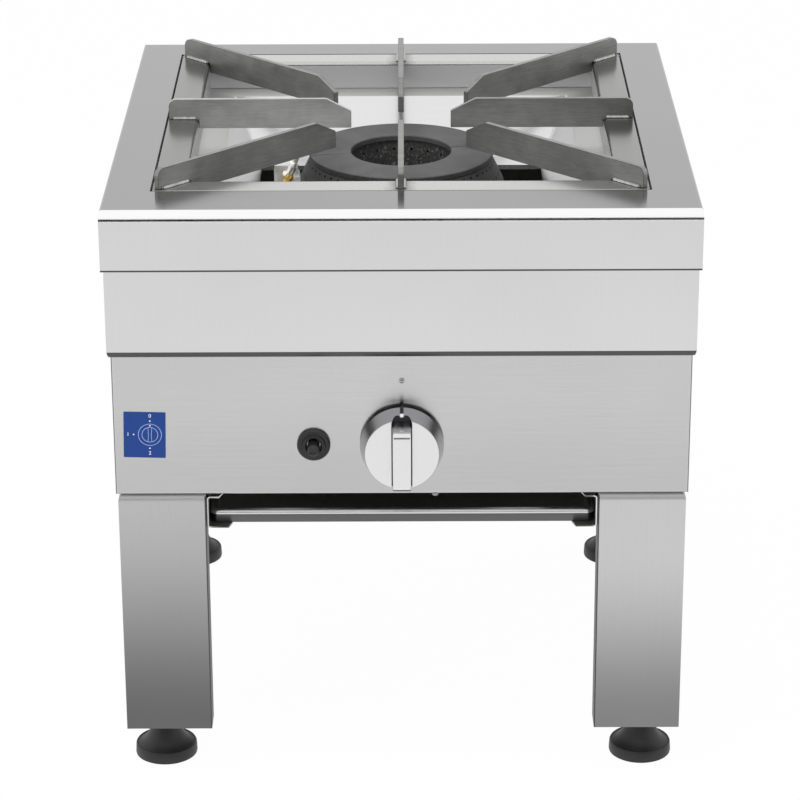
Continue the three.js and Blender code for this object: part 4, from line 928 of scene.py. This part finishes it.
def make_spill_pan(sizes):
    """The pan: level rectangles for the hem, the wall, the ledge, the four slopes and the well."""
    low, high = extent("spill_pan")
    middle = centre_of("pot_support_frame")[1]
    s, hem, wall, ledge, bottom = sizes.sheet, high[0], 245.0, 580.0, 521.0
    (crease_x, crease_y), (well_x, well_y) = (184.5, 185.0), (152.0, 115.0)
    outside = 3.5  # corner radius of the underside

    def level(x, y, height, corner=2.0):
        return (x, middle - y, middle + y, height, corner)

    def even(half, height, corner=2.0):
        return level(half, half, height, corner)

    shown = [even(hem, high[2]), even(wall + 1, high[2]), even(wall, high[2] - 1), even(wall, ledge + 1.5),
             even(wall - 1.5, ledge), level(crease_x + 2, crease_y + 2, ledge),
             level(crease_x - 1, crease_y - 1, ledge - 1), level(well_x, well_y, bottom)]
    under = [level(well_x, well_y, low[2]), level(well_x + s, well_y + s, low[2], outside),
             level(well_x + s, well_y + s, bottom - s / 2, outside),
             level(crease_x + 1, crease_y + 1, ledge - s, outside), even(wall + s, ledge - s, outside),
             even(wall + s, high[2] - s, outside), even(hem, high[2] - s)]
    rows = shown + under
    points, (faces,) = loft(rows, 4)
    row = row_of(faces, points, len(rows))
    below, upright = (row >= len(shown)) & (row < len(rows) - 1), row == 2
    flat = (row == 4) | (row == 5)
    piece("spill_pan_pressing", split(points, faces, ~(below | upright | flat), upright, flat, below),
          ["pan", "pan_wall", "pan_ledge", "inside"], "casing", ["spill_pan"], angle=20)


class RANGE_OT_pan(bpy.types.Operator):
    """Builds the spill pan around the burner"""

    bl_idname = "stock_range.pan"
    bl_label = "Spill Pan"

    def execute(self, context):
        make_spill_pan(context.scene.range_sizes)
        return {"FINISHED"}


def turn_z(points, angle, middle):
    """Points turned about the burner's upright axis."""
    c, s = math.cos(angle), math.sin(angle)
    x, y, z = points.T
    return np.c_[c * x - s * y, s * x + c * y + middle, z]


def bead(start, end, side, half, level, width):
    """A weld bead in the corner between a bar and the strip: a quarter round whose radius swells and shrinks
    every 5 mm, radius = width (0.95 + 0.05 sin), and tapers over 1.5 mm at each end."""
    steps, sink_y, sink_z = 60, 0.3, 0.2  # the bead is sunk into the bar and into the strip by this much
    along = np.linspace(start, end, steps)[:, None]
    turn = np.linspace(0, math.pi / 2, 6)[None, :]
    taper = np.minimum(1, np.minimum(along - start, end - along) / 1.5 + 0.35)
    radius = width * (0.95 + 0.05 * np.sin(along * 2 * math.pi / 5)) * taper
    corner = np.zeros(steps)  # the last point of each section
    out, rise = np.c_[radius * np.cos(turn), corner], np.c_[radius * np.sin(turn), corner]
    x = np.broadcast_to(along, out.shape)
    points = np.stack([x, side * (half - sink_y + out), level - sink_z + rise], -1)
    return points.reshape(-1, 3), capped(steps, x.shape[1])


def make_bar(name, index, sizes, strip_inner, half_frame, middle, top):
    """A flat bar on edge: an outline in the upright plane, carried across its thickness, with a round upper
    outer corner and a sloping tip, welded to the strip on both sides. Every second bar points at a corner."""
    corner, half = index % 2 == 1, 3  # half of the bar's thickness
    stretch = math.sqrt(2) if corner else 1
    reach = 97.5 if corner else 52
    outer = half_frame * stretch - (6 if corner else 0.5)
    notch = strip_inner * stretch - (3 if corner else 0) - SEAT
    high, low, seat = top + 21, top - 10, top + SEAT
    outline = rounded([(reach, low, 1), (notch, low), (notch, seat), (outer, seat), (outer, high, 8),
                       (reach + 26, high, 3), (reach, high - 13.4, 1.5)], 7)
    parts = [(*prism(outline, 1, -half, half), 0)]
    for side in (-1, 1):
        parts.append((*bead(notch + 2.5, outer - 4, side, half, seat, sizes.weld), 1))
    parts = [(turn_z(points, index * math.pi / 4, middle), own, number) for points, own, number in parts]
    # the left bar takes the lighter copy of the steel: painted light
    steel = "pale_bar" if name == "pot_bar_left" else "bar"
    blade = piece(f"{name}_blade", parts, [steel, "weld", "bar_edge"], "pot_support", [name], bevel=0.5)
    # the bevels take the dark edge steel: painted shade along the bar's edges
    blade.modifiers["edge"].material = 2


class RANGE_OT_support(bpy.types.Operator):
    """Builds the pan support: its angle frame, eight bars and their welds"""

    bl_idname = "stock_range.support"
    bl_label = "Pan Support"

    def execute(self, context):
        low, high = extent("pot_support_frame")
        middle = centre_of("pot_support_frame")[1]
        half, top, foot, thick, bend = high[0], high[2], low[2], 3, 4
        inner = half - 31.5  # the strip's width
        section = rounded([(half, top, 0.5), (inner, top, bend), (inner, foot, 0.5), (inner + thick, foot, 0.5),
                           (inner + thick, top - thick), (half, top - thick, 0.5)], 5)
        inset, height = section.T
        rows = np.c_[inset, middle - inset, middle + inset, height, np.full(len(section), 0.4)]
        points, (faces,) = loft(rows, 2)
        x, y, z = points[faces].mean(1).T
        wall = (z < top - bend + 0.1) & (np.maximum(abs(x), abs(y - middle)) < inner + 0.5)
        piece("support_frame_angle", split(points, faces, ~wall, wall), ["strip", "pan_wall"], "pot_support",
              ["pot_support_frame"])
        names = ("right", "rear_right", "rear", "rear_left", "left", "front_left", "front", "front_right")
        for index, name in enumerate(names):
            make_bar(f"pot_bar_{name}", index, context.scene.range_sizes, inner, half, middle, top)
        return {"FINISHED"}


# ---------------------------------------------------------------- burner


def make_cap_half(name, turn, middle):
    """Half of the flat cap: a section with rounded edges swept through half a turn less the saw cut."""
    low, high = extent(name)
    top, bottom, outer, inner, gap, steps = high[2], low[2], 96.5, 52.5, 0.9, 61
    section = rounded([(inner, bottom, 0.6), (outer, bottom, 0.8), (outer, top, 1.3), (inner, top, 1.3)], 4)
    radius, height = section.T
    skip = np.arcsin(gap / 2 / radius)[None, :]
    angle = turn + skip + (math.pi - 2 * skip) * np.linspace(0, 1, steps)[:, None]
    points = np.stack([radius * np.cos(angle), radius * np.sin(angle) + middle,
                       np.broadcast_to(height, angle.shape)], -1).reshape(-1, 3)
    walls, *ends = capped(steps, len(section))
    x, y, z = points[walls].mean(1).T
    rim = (np.hypot(x, y - middle) > outer - 0.6) & (z < top - 0.9)
    piece(f"{name}_casting", [(points, [walls[~rim], *ends], 0), (points, [walls[rim]], 1)], ["cap", "iron"],
          "casing", [name], angle=40)


def around(count, radius, z, slope, middle, turn=0.0):
    """Places and directions of ports: evenly round a circle, tilted up by the slope."""
    angle = circle(count, turn)
    flat = np.c_[np.cos(angle), np.sin(angle)]
    centres = np.c_[radius * flat[:, 0], radius * flat[:, 1] + middle, np.full(count, z)]
    directions = np.c_[flat * math.cos(slope), np.full(count, math.sin(slope))]
    return centres, directions


class RANGE_OT_burner(bpy.types.Operator):
    """Builds the burner's split cap and its two port rings, and finishes the bowl, tube and rails"""

    bl_idname = "stock_range.burner"
    bl_label = "Burner"

    def execute(self, context):
        sizes = context.scene.range_sizes
        low, high = extent("burner_outer_ring")
        middle = centre_of("burner_outer_ring")[1]
        seam = math.radians(11)
        make_cap_half("burner_cap_rear", seam, middle)
        make_cap_half("burner_cap_front", seam + math.pi, middle)
        top, bottom, outer, seat, flare, wall = high[2], low[2], high[0], 95.5, 26.5, 5.0
        shoulder = top - flare
        profile = rounded([(seat, top, 0.6), (outer, shoulder, 2), (outer, bottom, 0.6), (outer - wall, bottom, 0.6),
                           (outer - wall, shoulder), (seat - wall, top - 1.5), (seat - wall, top, 0.4)], 4)
        ring = piece("outer_ring_casting", [lathe(profile, 144, (0, middle, 0), UP, ring=True)], ["iron"],
                     "casing", ["burner_outer_ring"], angle=30)
        slope = math.atan2(outer - seat, flare)
        half_step = math.pi / sizes.ports

        def row(below, turn):
            share = below / flare
            return around(sizes.ports, seat + (outer - seat) * share, top - flare * share, slope, middle, turn)

        upper, lower = row(4, 0.0), row(16, half_step)
        centres, ways = (np.vstack(pair) for pair in zip(upper, lower))
        carve(ring, [drills(centres, ways, sizes.port / 2, 4 * wall)], ["iron"])
        low, high = extent("burner_inner_ring")
        base, crown = low[2], high[2]
        profile = rounded([(55, crown, 0.8), (48, base, 0.6), (53, base, 0.6), (60, crown - 4), (60, crown, 0.6)], 4)
        funnel = piece("inner_ring_casting", [lathe(profile, 120, (0, middle, 0), UP, ring=True)], ["rough_iron"],
                       "casing", ["burner_inner_ring"], angle=30)
        centres, ways = around(18, 54.0, crown - 9.5, 0.0, middle, math.radians(-2))
        carve(funnel, [drills(centres, ways, sizes.port / 2 + 0.2, 4 * wall)], ["rough_iron"])
        dress("iron", "cast_iron", "burner_bowl", "mixing_tube")
        # the rails take the dark inside finish: painted shade
        dress("inside", "stainless", "burner_rail_front", "burner_rail_rear")
        return {"FINISHED"}


# ---------------------------------------------------------------- pilot, electrode and leads


def leaning(degrees):
    """A direction that leans to the right of upright."""
    return np.array((math.sin(math.radians(degrees)), 0, math.cos(math.radians(degrees))))


class RANGE_OT_pilot(bpy.types.Operator):
    """Builds the electrode, the flame sensor and their nut, and finishes the bracket and leads"""

    bl_idname = "stock_range.pilot"
    bl_label = "Pilot"

    def execute(self, context):
        dress("alloy", "valve_alloy", "pilot_bracket")
        low, _ = extent("electrode_ceramic")
        x, y, _ = centre_of("electrode_ceramic")
        bore, radius, shelf, tall, tilt = 1.5, 5.0, low[2] + 18, 32.0, leaning(16)
        collar, under, over = 8.8, 15.5, 19
        profile = rounded([(bore, SEAT, 0.3), (radius, SEAT, 0.3), (radius, under, 0.3), (collar, under, 1.0),
                           (collar, over, 1.0), (radius, over, 0.8), (radius - 0.2, tall, 1.8), (bore, tall, 0.3)], 4)
        below = rounded([(bore, low[2], 0.3), (radius, low[2], 0.6), (radius, shelf - 2, 0.3), (bore, shelf - 2)], 4)
        foot = np.array((x - 7.5, y, shelf))
        piece("electrode_insulator", [lathe(profile, 36, foot, tilt, ring=True),
                                      lathe(below, 32, (x, y, 0), UP, ring=True)],
              ["ceramic"], "casing", ["electrode_ceramic"])
        tip = (x + 11.8, y + 3.9, extent("electrode_rod")[1][2] - 0.8)
        route = [foot + tilt * 4, foot + tilt * (tall + 2), tip]
        piece("electrode_wire", [tube(route, 1.2, 12, 6, 2)], ["steel"], "casing", ["electrode_rod"])

        low, _ = extent("sensor_nut")
        x, y, _ = centre_of("sensor_nut")
        flats = [(2.8, 0), (5.0, 0), (5.5, 0.6), (5.5, 6), (5.0, 6.6), (2.8, 6.6)]
        hexagon = lathe(flats, 6, (x, y, low[2]), UP, math.pi / 6, ring=True)
        tilt, foot = leaning(27), np.array((x - 0.8, y, low[2] + 6))
        cone = rounded([(2.8, 0), (5.0, 0, 0.4), (5.4, 4.5, 1.2), (3.9, 9.5, 1.2), (4.3, 12, 0.6), (3.7, 15.5, 0.6),
                        (2.8, 15.5)], 5)
        piece("sensor_nut_turned", [hexagon, lathe(cone, 36, foot, tilt, ring=True)], ["brass"], "casing",
              ["sensor_nut"], bevel=0.15)

        length = 25
        tip = foot + tilt * length
        stem = tube([(x, y, extent("flame_sensor")[0][2]), (x, y, foot[2] - 1)], 2.5, 20)
        sleeve = rounded([(0, 12), (2.6, 12), (2.6, length - 1, 0.5), (1.2, length, 0.3), (0, length)], 3, False)
        wire = tube([tip - tilt, tip + (4.2, 0, 9.5)], 1.1, 12)
        piece("sensor_tube", [stem, lathe(sleeve, 24, foot, tilt), wire], ["steel"], "casing", ["flame_sensor"])
        dress("copper", "copper_lead", "sensor_lead")
        dress("jacket", "lead_jacket", "ignition_lead")
        return {"FINISHED"}


# ---------------------------------------------------------------- tap, knob and igniter


def make_knob():
    """The knob: a turned skirt with a flat face, a channel cut across it that is open below, a pointer rib on
    top and a grip bar with rounded ends in the channel. The channel's cut walls, the rib and the lower end of the grip
    take a dark plating: painted shade."""
    low, high = extent("knob_skirt")
    rear_y, face_y = high[1], low[1]
    z, length = low[2] + 41.5, high[1] - low[1]
    profile = rounded([(0, length), (36.5, length, 0.7), (41.5, 0.4, 0.5), (38.7, 0, 0.4), (37, 9), (9, 9), (9, 1),
                       (0, 1)], 4, False)
    points, (faces,) = lathe(profile, 128, (0, rear_y, z), FORWARDS)
    middle = points[faces].mean(1)
    flat = (middle[:, 1] < face_y + 0.05) & (np.hypot(middle[:, 0], middle[:, 2] - z) < 36.2)
    finishes = ["bright", "satin", "groove"]
    skirt = piece("knob_skirt_casting", split(points, faces, ~flat, flat), finishes, "knob", ["knob_skirt"],
                  angle=28)
    half, end, deep = 10.25, z + 38.2, 9
    channel = rounded([(-half, z - 50), (half, z - 50), (half, end, 6), (-half, end, 6)], 5)
    carve(skirt, [(*prism(channel, 1, face_y - 5, face_y + deep), 2)], finishes)

    width, front = 1.8, face_y + 5
    rib = rounded([(rear_y, z + 38.5), (rear_y, z + 43.1, 0.6), (front, z + 41.3, 0.6), (front, z + 34)], 3)
    piece("pointer_rib", [prism(rib, 0, -width, width)], ["groove"], "knob", bevel=0.3)
    mark = rounded([(-width, z + 37.8, 0.4), (width, z + 37.8, 0.4), (width, z + 41.2, 0.4),
                    (-width, z + 41.2, 0.4)], 3)
    piece("pointer_mark", [prism(mark, 1, face_y + 4.4, face_y + 5.1)], ["cream"], "knob")

    low, high = extent("knob_grip")
    side = rounded([(high[1], low[2]), (high[1], high[2]), (low[1], high[2], 6), (low[1], low[2], 6)], 9)
    points, (wall, *ends) = prism(side, 0, -9, 9)
    under = points[wall].mean(1)[:, 2] < low[2] + 3.4
    piece("knob_grip_bar", [(points, [wall[~under], *ends], 0), (points, [wall[under]], 1)], ["satin", "groove"],
          "knob", ["knob_grip"], bevel=1.4, angle=40)


def make_igniter(panel):
    """The igniter: a stepped black bezel on a barrel, and a button with a dished end."""
    x, _, z = centre_of("igniter_body")
    bore, barrel, rear = 6.5, 9, -43.7
    profile = rounded([(bore, 1.5), (8.2, 1.5), (8.2, 6.9, 0.4), (11.4, 6.9, 0.6), (12, 4.7, 0.3), (15, 4.7, 0.8),
                       (16.5, 3.2, 0.5), (16.5, -SEAT), (barrel, -SEAT), (barrel, rear, 0.5), (bore, rear)], 4)
    piece("igniter_bezel", [lathe(profile, 48, (x, panel, z), FORWARDS, ring=True)], ["black"], "casing",
          ["igniter_body"])
    reach, foot = (panel - corner[1] for corner in extent("igniter_button"))
    profile = rounded([(0, reach - 0.9), (2.6, reach - 0.7, 0.6), (4.2, reach, 0.4), (6, reach - 1.8, 0.7),
                       (6, foot, 0.4), (0, foot)], 4, False)
    piece("igniter_button_cap", [lathe(profile, 40, (x, panel, z), FORWARDS)], ["black"], "igniter_button",
          ["igniter_button"])


class RANGE_OT_controls(bpy.types.Operator):
    """Builds the knob, the index stud and the igniter, and finishes the tap behind them"""

    bl_idname = "stock_range.controls"
    bl_label = "Controls"

    def execute(self, context):
        panel = extent("control_panel")[0][1]
        make_knob()
        make_igniter(panel)
        x, _, z = centre_of("index_stud")
        head, shank, rear = 2.8, 1.5, -9.4
        t = np.linspace(0, math.pi / 2, 7)
        dome = np.c_[head * np.cos(t), 0.2 + 1.5 * np.sin(t)]
        profile = np.vstack([[(0, rear), (shank, rear), (shank, SEAT), (head, SEAT)], dome])
        piece("index_stud_dome", [lathe(profile, 28, (x, panel, z), FORWARDS)], ["steel"], "casing", ["index_stud"])
        dress("alloy", "valve_alloy", "gas_valve")
        dress("steel", "plain_steel", "thrust_collar", "spindle")
        dress("black", "black_plastic", "igniter_nut")
        return {"FINISHED"}


# ---------------------------------------------------------------- label


def ribbon(points, width):
    """A flat line of a width along points in the plate's plane: each point moved half the width to each side."""
    run = unit(np.gradient(points, axis=0))
    normal = np.c_[-run[:, 1], run[:, 0]] * width / 2
    return np.vstack([points + normal, (points - normal)[::-1]])


def rectangle(x, y, half_x, half_y, radius):
    """A rectangle about a point, with rounded corners."""
    return rounded([(x - half_x, y - half_y, radius), (x + half_x, y - half_y, radius),
                    (x + half_x, y + half_y, radius), (x - half_x, y + half_y, radius)], 4)


def digit(text, x, y, tall):
    """The flat outline mesh of a plain numeral, centred on a point of the plate, as (points, faces)."""
    curve = bpy.data.curves.new("numeral", "FONT")
    curve.body, curve.size, curve.align_x, curve.align_y = text, tall, "CENTER", "CENTER"
    holder = bpy.data.objects.new("numeral", curve)
    bpy.context.scene.collection.objects.link(holder)
    bpy.context.view_layer.update()
    mesh = bpy.data.meshes.new_from_object(holder.evaluated_get(bpy.context.evaluated_depsgraph_get()))
    flat = np.empty(len(mesh.vertices) * 3)
    mesh.vertices.foreach_get("co", flat)
    flat = flat.reshape(-1, 3)[:, :2] + (x, y)
    faces = [np.array(polygon.vertices)[None] for polygon in mesh.polygons]
    bpy.data.objects.remove(holder)
    bpy.data.curves.remove(curve)
    bpy.data.meshes.remove(mesh)
    return flat, faces


class RANGE_OT_label(bpy.types.Operator):
    """Builds the blue plate that shows the tap's positions"""

    bl_idname = "stock_range.label"
    bl_label = "Position Plate"

    def execute(self, context):
        panel = extent("control_panel")[0][1]
        centre, (wide, high), tilt = (-253.6, 376.5), (41.5, 48.5), math.radians(-1.5)
        turn = np.array([[math.cos(tilt), math.sin(tilt)], [-math.sin(tilt), math.cos(tilt)]])
        knob_centre = np.array((5.2, 0.3))
        print_height, line, cream, pale = 0.42, 0.42, 1, 2

        plate = prism(rectangle(0, 0, wide / 2, high / 2, 1.0) @ turn + centre, 1, panel - 0.35, panel - 0.02)
        parts = [(*plate, 0)]

        def lie(flat, number, faces=None):
            """Adds a flat form to the plate: one face round its points, or its own faces."""
            flat = np.asarray(flat) @ turn + centre
            points = np.c_[flat[:, 0], np.full(len(flat), panel - print_height), flat[:, 1]]
            parts.append((points, faces or [np.arange(len(flat))[None]], number))

        angle = circle(48)
        rim = np.c_[np.cos(angle), np.sin(angle)]
        for radius in (11.4, 7.8):
            lie(np.vstack([rim * (radius - 0.25), rim * (radius + 0.25)]) + knob_centre, pale,
                [quads(2, len(rim), wrap_columns=True)])
        for x in (-1.9, 1.9):
            lie(ribbon(np.array([(x, -7.4), (x * 0.75, 0), (x, 7.4)]) + knob_centre, line), pale)
        for x, y in np.array(((0, 14.6), (-16.0, 0), (0, -14.4), (0, 9.6))) + knob_centre:
            lie(rectangle(x, y, 0.8, 0.8, 0.79), cream)
        for text, x, y in (("0", 5.2, 20.2), ("1", -16.4, 0.3), ("2", 5.2, -19.4)):
            flat, faces = digit(text, x, y, 5.4)
            lie(flat, cream, faces)
        piece("position_plate", parts, ["blue", "cream", "pale_blue"], "casing")
        return {"FINISHED"}


# ---------------------------------------------------------------- gas line


class RANGE_OT_gas_line(bpy.types.Operator):
    """Builds the threaded gas inlet and finishes the pipes, the injector and the air shutter"""

    bl_idname = "stock_range.gas_line"
    bl_label = "Gas Line"

    def execute(self, context):
        x, _, z = centre_of("inlet_fitting")
        start, end = (corner[1] for corner in extent("inlet_fitting"))
        back = extent("back_panel")[1][1]
        crest, root, pitch, bore, flat = 10.5, 9.7, 1.8, 7.5, 13.5
        ridge = np.arange(back + 16, end - 2, pitch / 2)
        thread = np.c_[np.where(np.arange(len(ridge)) % 2 == 0, crest, root), ridge - start]
        profile = np.vstack([[(0, 0), (9.5, 0), (crest, 1), (crest, back + 15 - start)], thread,
                             [(10.2, end - 1 - start), (9.4, end - start), (bore, end - start), (bore, 4), (0, 4)]])
        stub = lathe(profile, 48, (x, start, z), BACKWARDS)
        tip, side = flat * 1.06, flat * 1.155  # the hexagon's chamfer and its corners, from half of its flats
        nut = [(8, 0), (tip, 0), (side, 1), (side, 11), (tip, 12), (8, 12)]
        hexagon = lathe(nut, 6, (x, back + SEAT, z), BACKWARDS, ring=True)
        piece("inlet_stub", [stub, hexagon], ["brass"], "casing", ["inlet_fitting"], angle=30)
        dress("steel", "plain_steel", "inlet_pipe", "supply_pipe")
        dress("brass", "brass", "injector")
        dress("rail", "stainless", "air_shutter")
        return {"FINISHED"}


# ---------------------------------------------------------------- stage


def board(name, corners):
    """A flat face of the studio."""
    mesh = bpy.data.meshes.new(name)
    mesh.from_pydata(corners, [], [(0, 1, 2, 3)])
    made = bpy.data.objects.new(name, mesh)
    bpy.context.scene.collection.objects.link(made)
    return made


def seen_directly(tree):
    """One for a ray that the camera, a shiny face or a clear one sends, nought for a matt face's."""
    rays = node(tree, "LightPath").outputs
    seen = node(tree, "Math", {0: rays["Is Camera Ray"], 1: rays["Is Glossy Ray"]}, operation="MAXIMUM")
    return node(tree, "Math", {0: seen.outputs[0], 1: rays["Is Transmission Ray"]}, operation="MAXIMUM").outputs[0]


class RANGE_OT_stage(bpy.types.Operator):
    """Builds the floor, the soft light and the camera"""

    bl_idname = "stock_range.stage"
    bl_label = "Stage"

    def execute(self, context):
        stage = context.scene.range_stage
        half = 14.0
        floor = board("floor", [(-half, -half, 0), (half, -half, 0), (half, half, 0), (-half, half, 0)])
        pale = Finish("white_floor", 0.9, 0.0, Base_Color=linear("F4F4F4"))
        share = pale.math("MULTIPLY", seen_directly(pale.tree), 0.98)
        glow = node(pale.tree, "Emission", {"Color": WHITE, "Strength": 1.0}).outputs[0]
        mix = node(pale.tree, "MixShader", {0: share, 1: pale.shader.outputs[0], 2: glow})
        pale.tree.links.new(mix.outputs[0], pale.tree.nodes["Material Output"].inputs["Surface"])
        floor.data.materials.append(pale.material)

        # The dark end of the studio, behind the camera: only shiny faces see it.
        y, top = -4.4, 1.9
        dark = board("dark_end", [(-5, y, 0), (5, y, 0), (5, y, top), (-5, y, top)])
        dark.visible_camera = dark.visible_diffuse = dark.visible_shadow = dark.visible_transmission = False
        cloth = Finish("black_cloth", 1.0, 0.0, Base_Color=linear("0A0A0A"), Specular_IOR_Level=0.0)
        dark.data.materials.append(cloth.material)

        world = bpy.data.worlds.new("studio")
        context.scene.world = world
        world.use_nodes = True
        sky, tree = world.node_tree.nodes["Background"].inputs, world.node_tree
        strength = node(tree, "MapRange", {"Value": seen_directly(tree), "To Min": stage.sky, "To Max": 1.0})
        tree.links.new(strength.outputs[0], sky["Strength"])
        sky["Color"].default_value = WHITE

        aim = Vector((0, 0, 0.4))
        for name, spot, size, power in (("overhead", (-0.3, -0.6, 2.3), (2.0, 1.2), stage.key),
                                        ("front_left", (-1.9, -2.2, 1.5), (1.1, 1.6), stage.key * 0.7)):
            light = bpy.data.lights.new(name, "AREA")
            light.shape, light.size, light.size_y, light.energy = "RECTANGLE", *size, power
            lamp = bpy.data.objects.new(name, light)
            lamp.visible_glossy = False
            lamp.location = spot
            lamp.rotation_euler = (aim - lamp.location).to_track_quat("-Z", "Y").to_euler()
            context.scene.collection.objects.link(lamp)

        camera = bpy.data.cameras.new("photograph")
        camera.lens, camera.sensor_width, camera.clip_end = stage.lens, 36, 100
        holder = bpy.data.objects.new("photograph", camera)
        holder.location = (0.0034, -3.1698, 1.5736)
        turn, roll = math.radians(0.101), math.radians(-0.235)
        facing = Euler((math.pi / 2 - stage.pitch, 0, turn)).to_matrix() @ Matrix.Rotation(roll, 3, "Z")
        holder.rotation_euler = facing.to_euler()
        context.scene.collection.objects.link(holder)
        context.scene.camera = holder
        context.scene.view_settings.view_transform = "Standard"
        return {"FINISHED"}


# ---------------------------------------------------------------- panel and registration


class RANGE_PT_pieces(bpy.types.Panel):
    """Lists the pieces of the range"""

    bl_label = "Stock Pot Range"
    bl_idname = "RANGE_PT_pieces"
    bl_space_type = "VIEW_3D"
    bl_region_type = "UI"
    bl_category = "Range"

    def draw(self, context):
        for operator in OPERATORS:
            self.layout.operator(operator.bl_idname)
        for group in GROUPS:
            settings = getattr(context.scene, group)
            box = self.layout.box()
            for name in settings.__annotations__:
                box.prop(settings, name)


OPERATORS = (
    RANGE_OT_stage, RANGE_OT_casing, RANGE_OT_legs, RANGE_OT_tray, RANGE_OT_pan, RANGE_OT_support, RANGE_OT_burner,
    RANGE_OT_pilot, RANGE_OT_controls, RANGE_OT_label, RANGE_OT_gas_line,
)
GROUPS = {"range_look": RangeLook, "range_sizes": RangeSizes, "range_stage": RangeStage}


def register():
    """Registers the classes and hangs the settings on the scene."""
    for kind in (*GROUPS.values(), *OPERATORS, RANGE_PT_pieces):
        bpy.utils.register_class(kind)
    for name, kind in GROUPS.items():
        setattr(bpy.types.Scene, name, PointerProperty(type=kind))


def unregister():
    """Takes the settings and the classes away again."""
    for name in GROUPS:
        delattr(bpy.types.Scene, name)
    for kind in (RANGE_PT_pieces, *reversed(OPERATORS), *reversed(list(GROUPS.values()))):
        bpy.utils.unregister_class(kind)


def main():
    register()
    make_finishes(bpy.context.scene.range_look)
    for operator in OPERATORS:
        group, name = operator.bl_idname.split(".")
        getattr(getattr(bpy.ops, group), name)()
    bpy.context.view_layer.update()


if __name__ == "__main__":
    main()
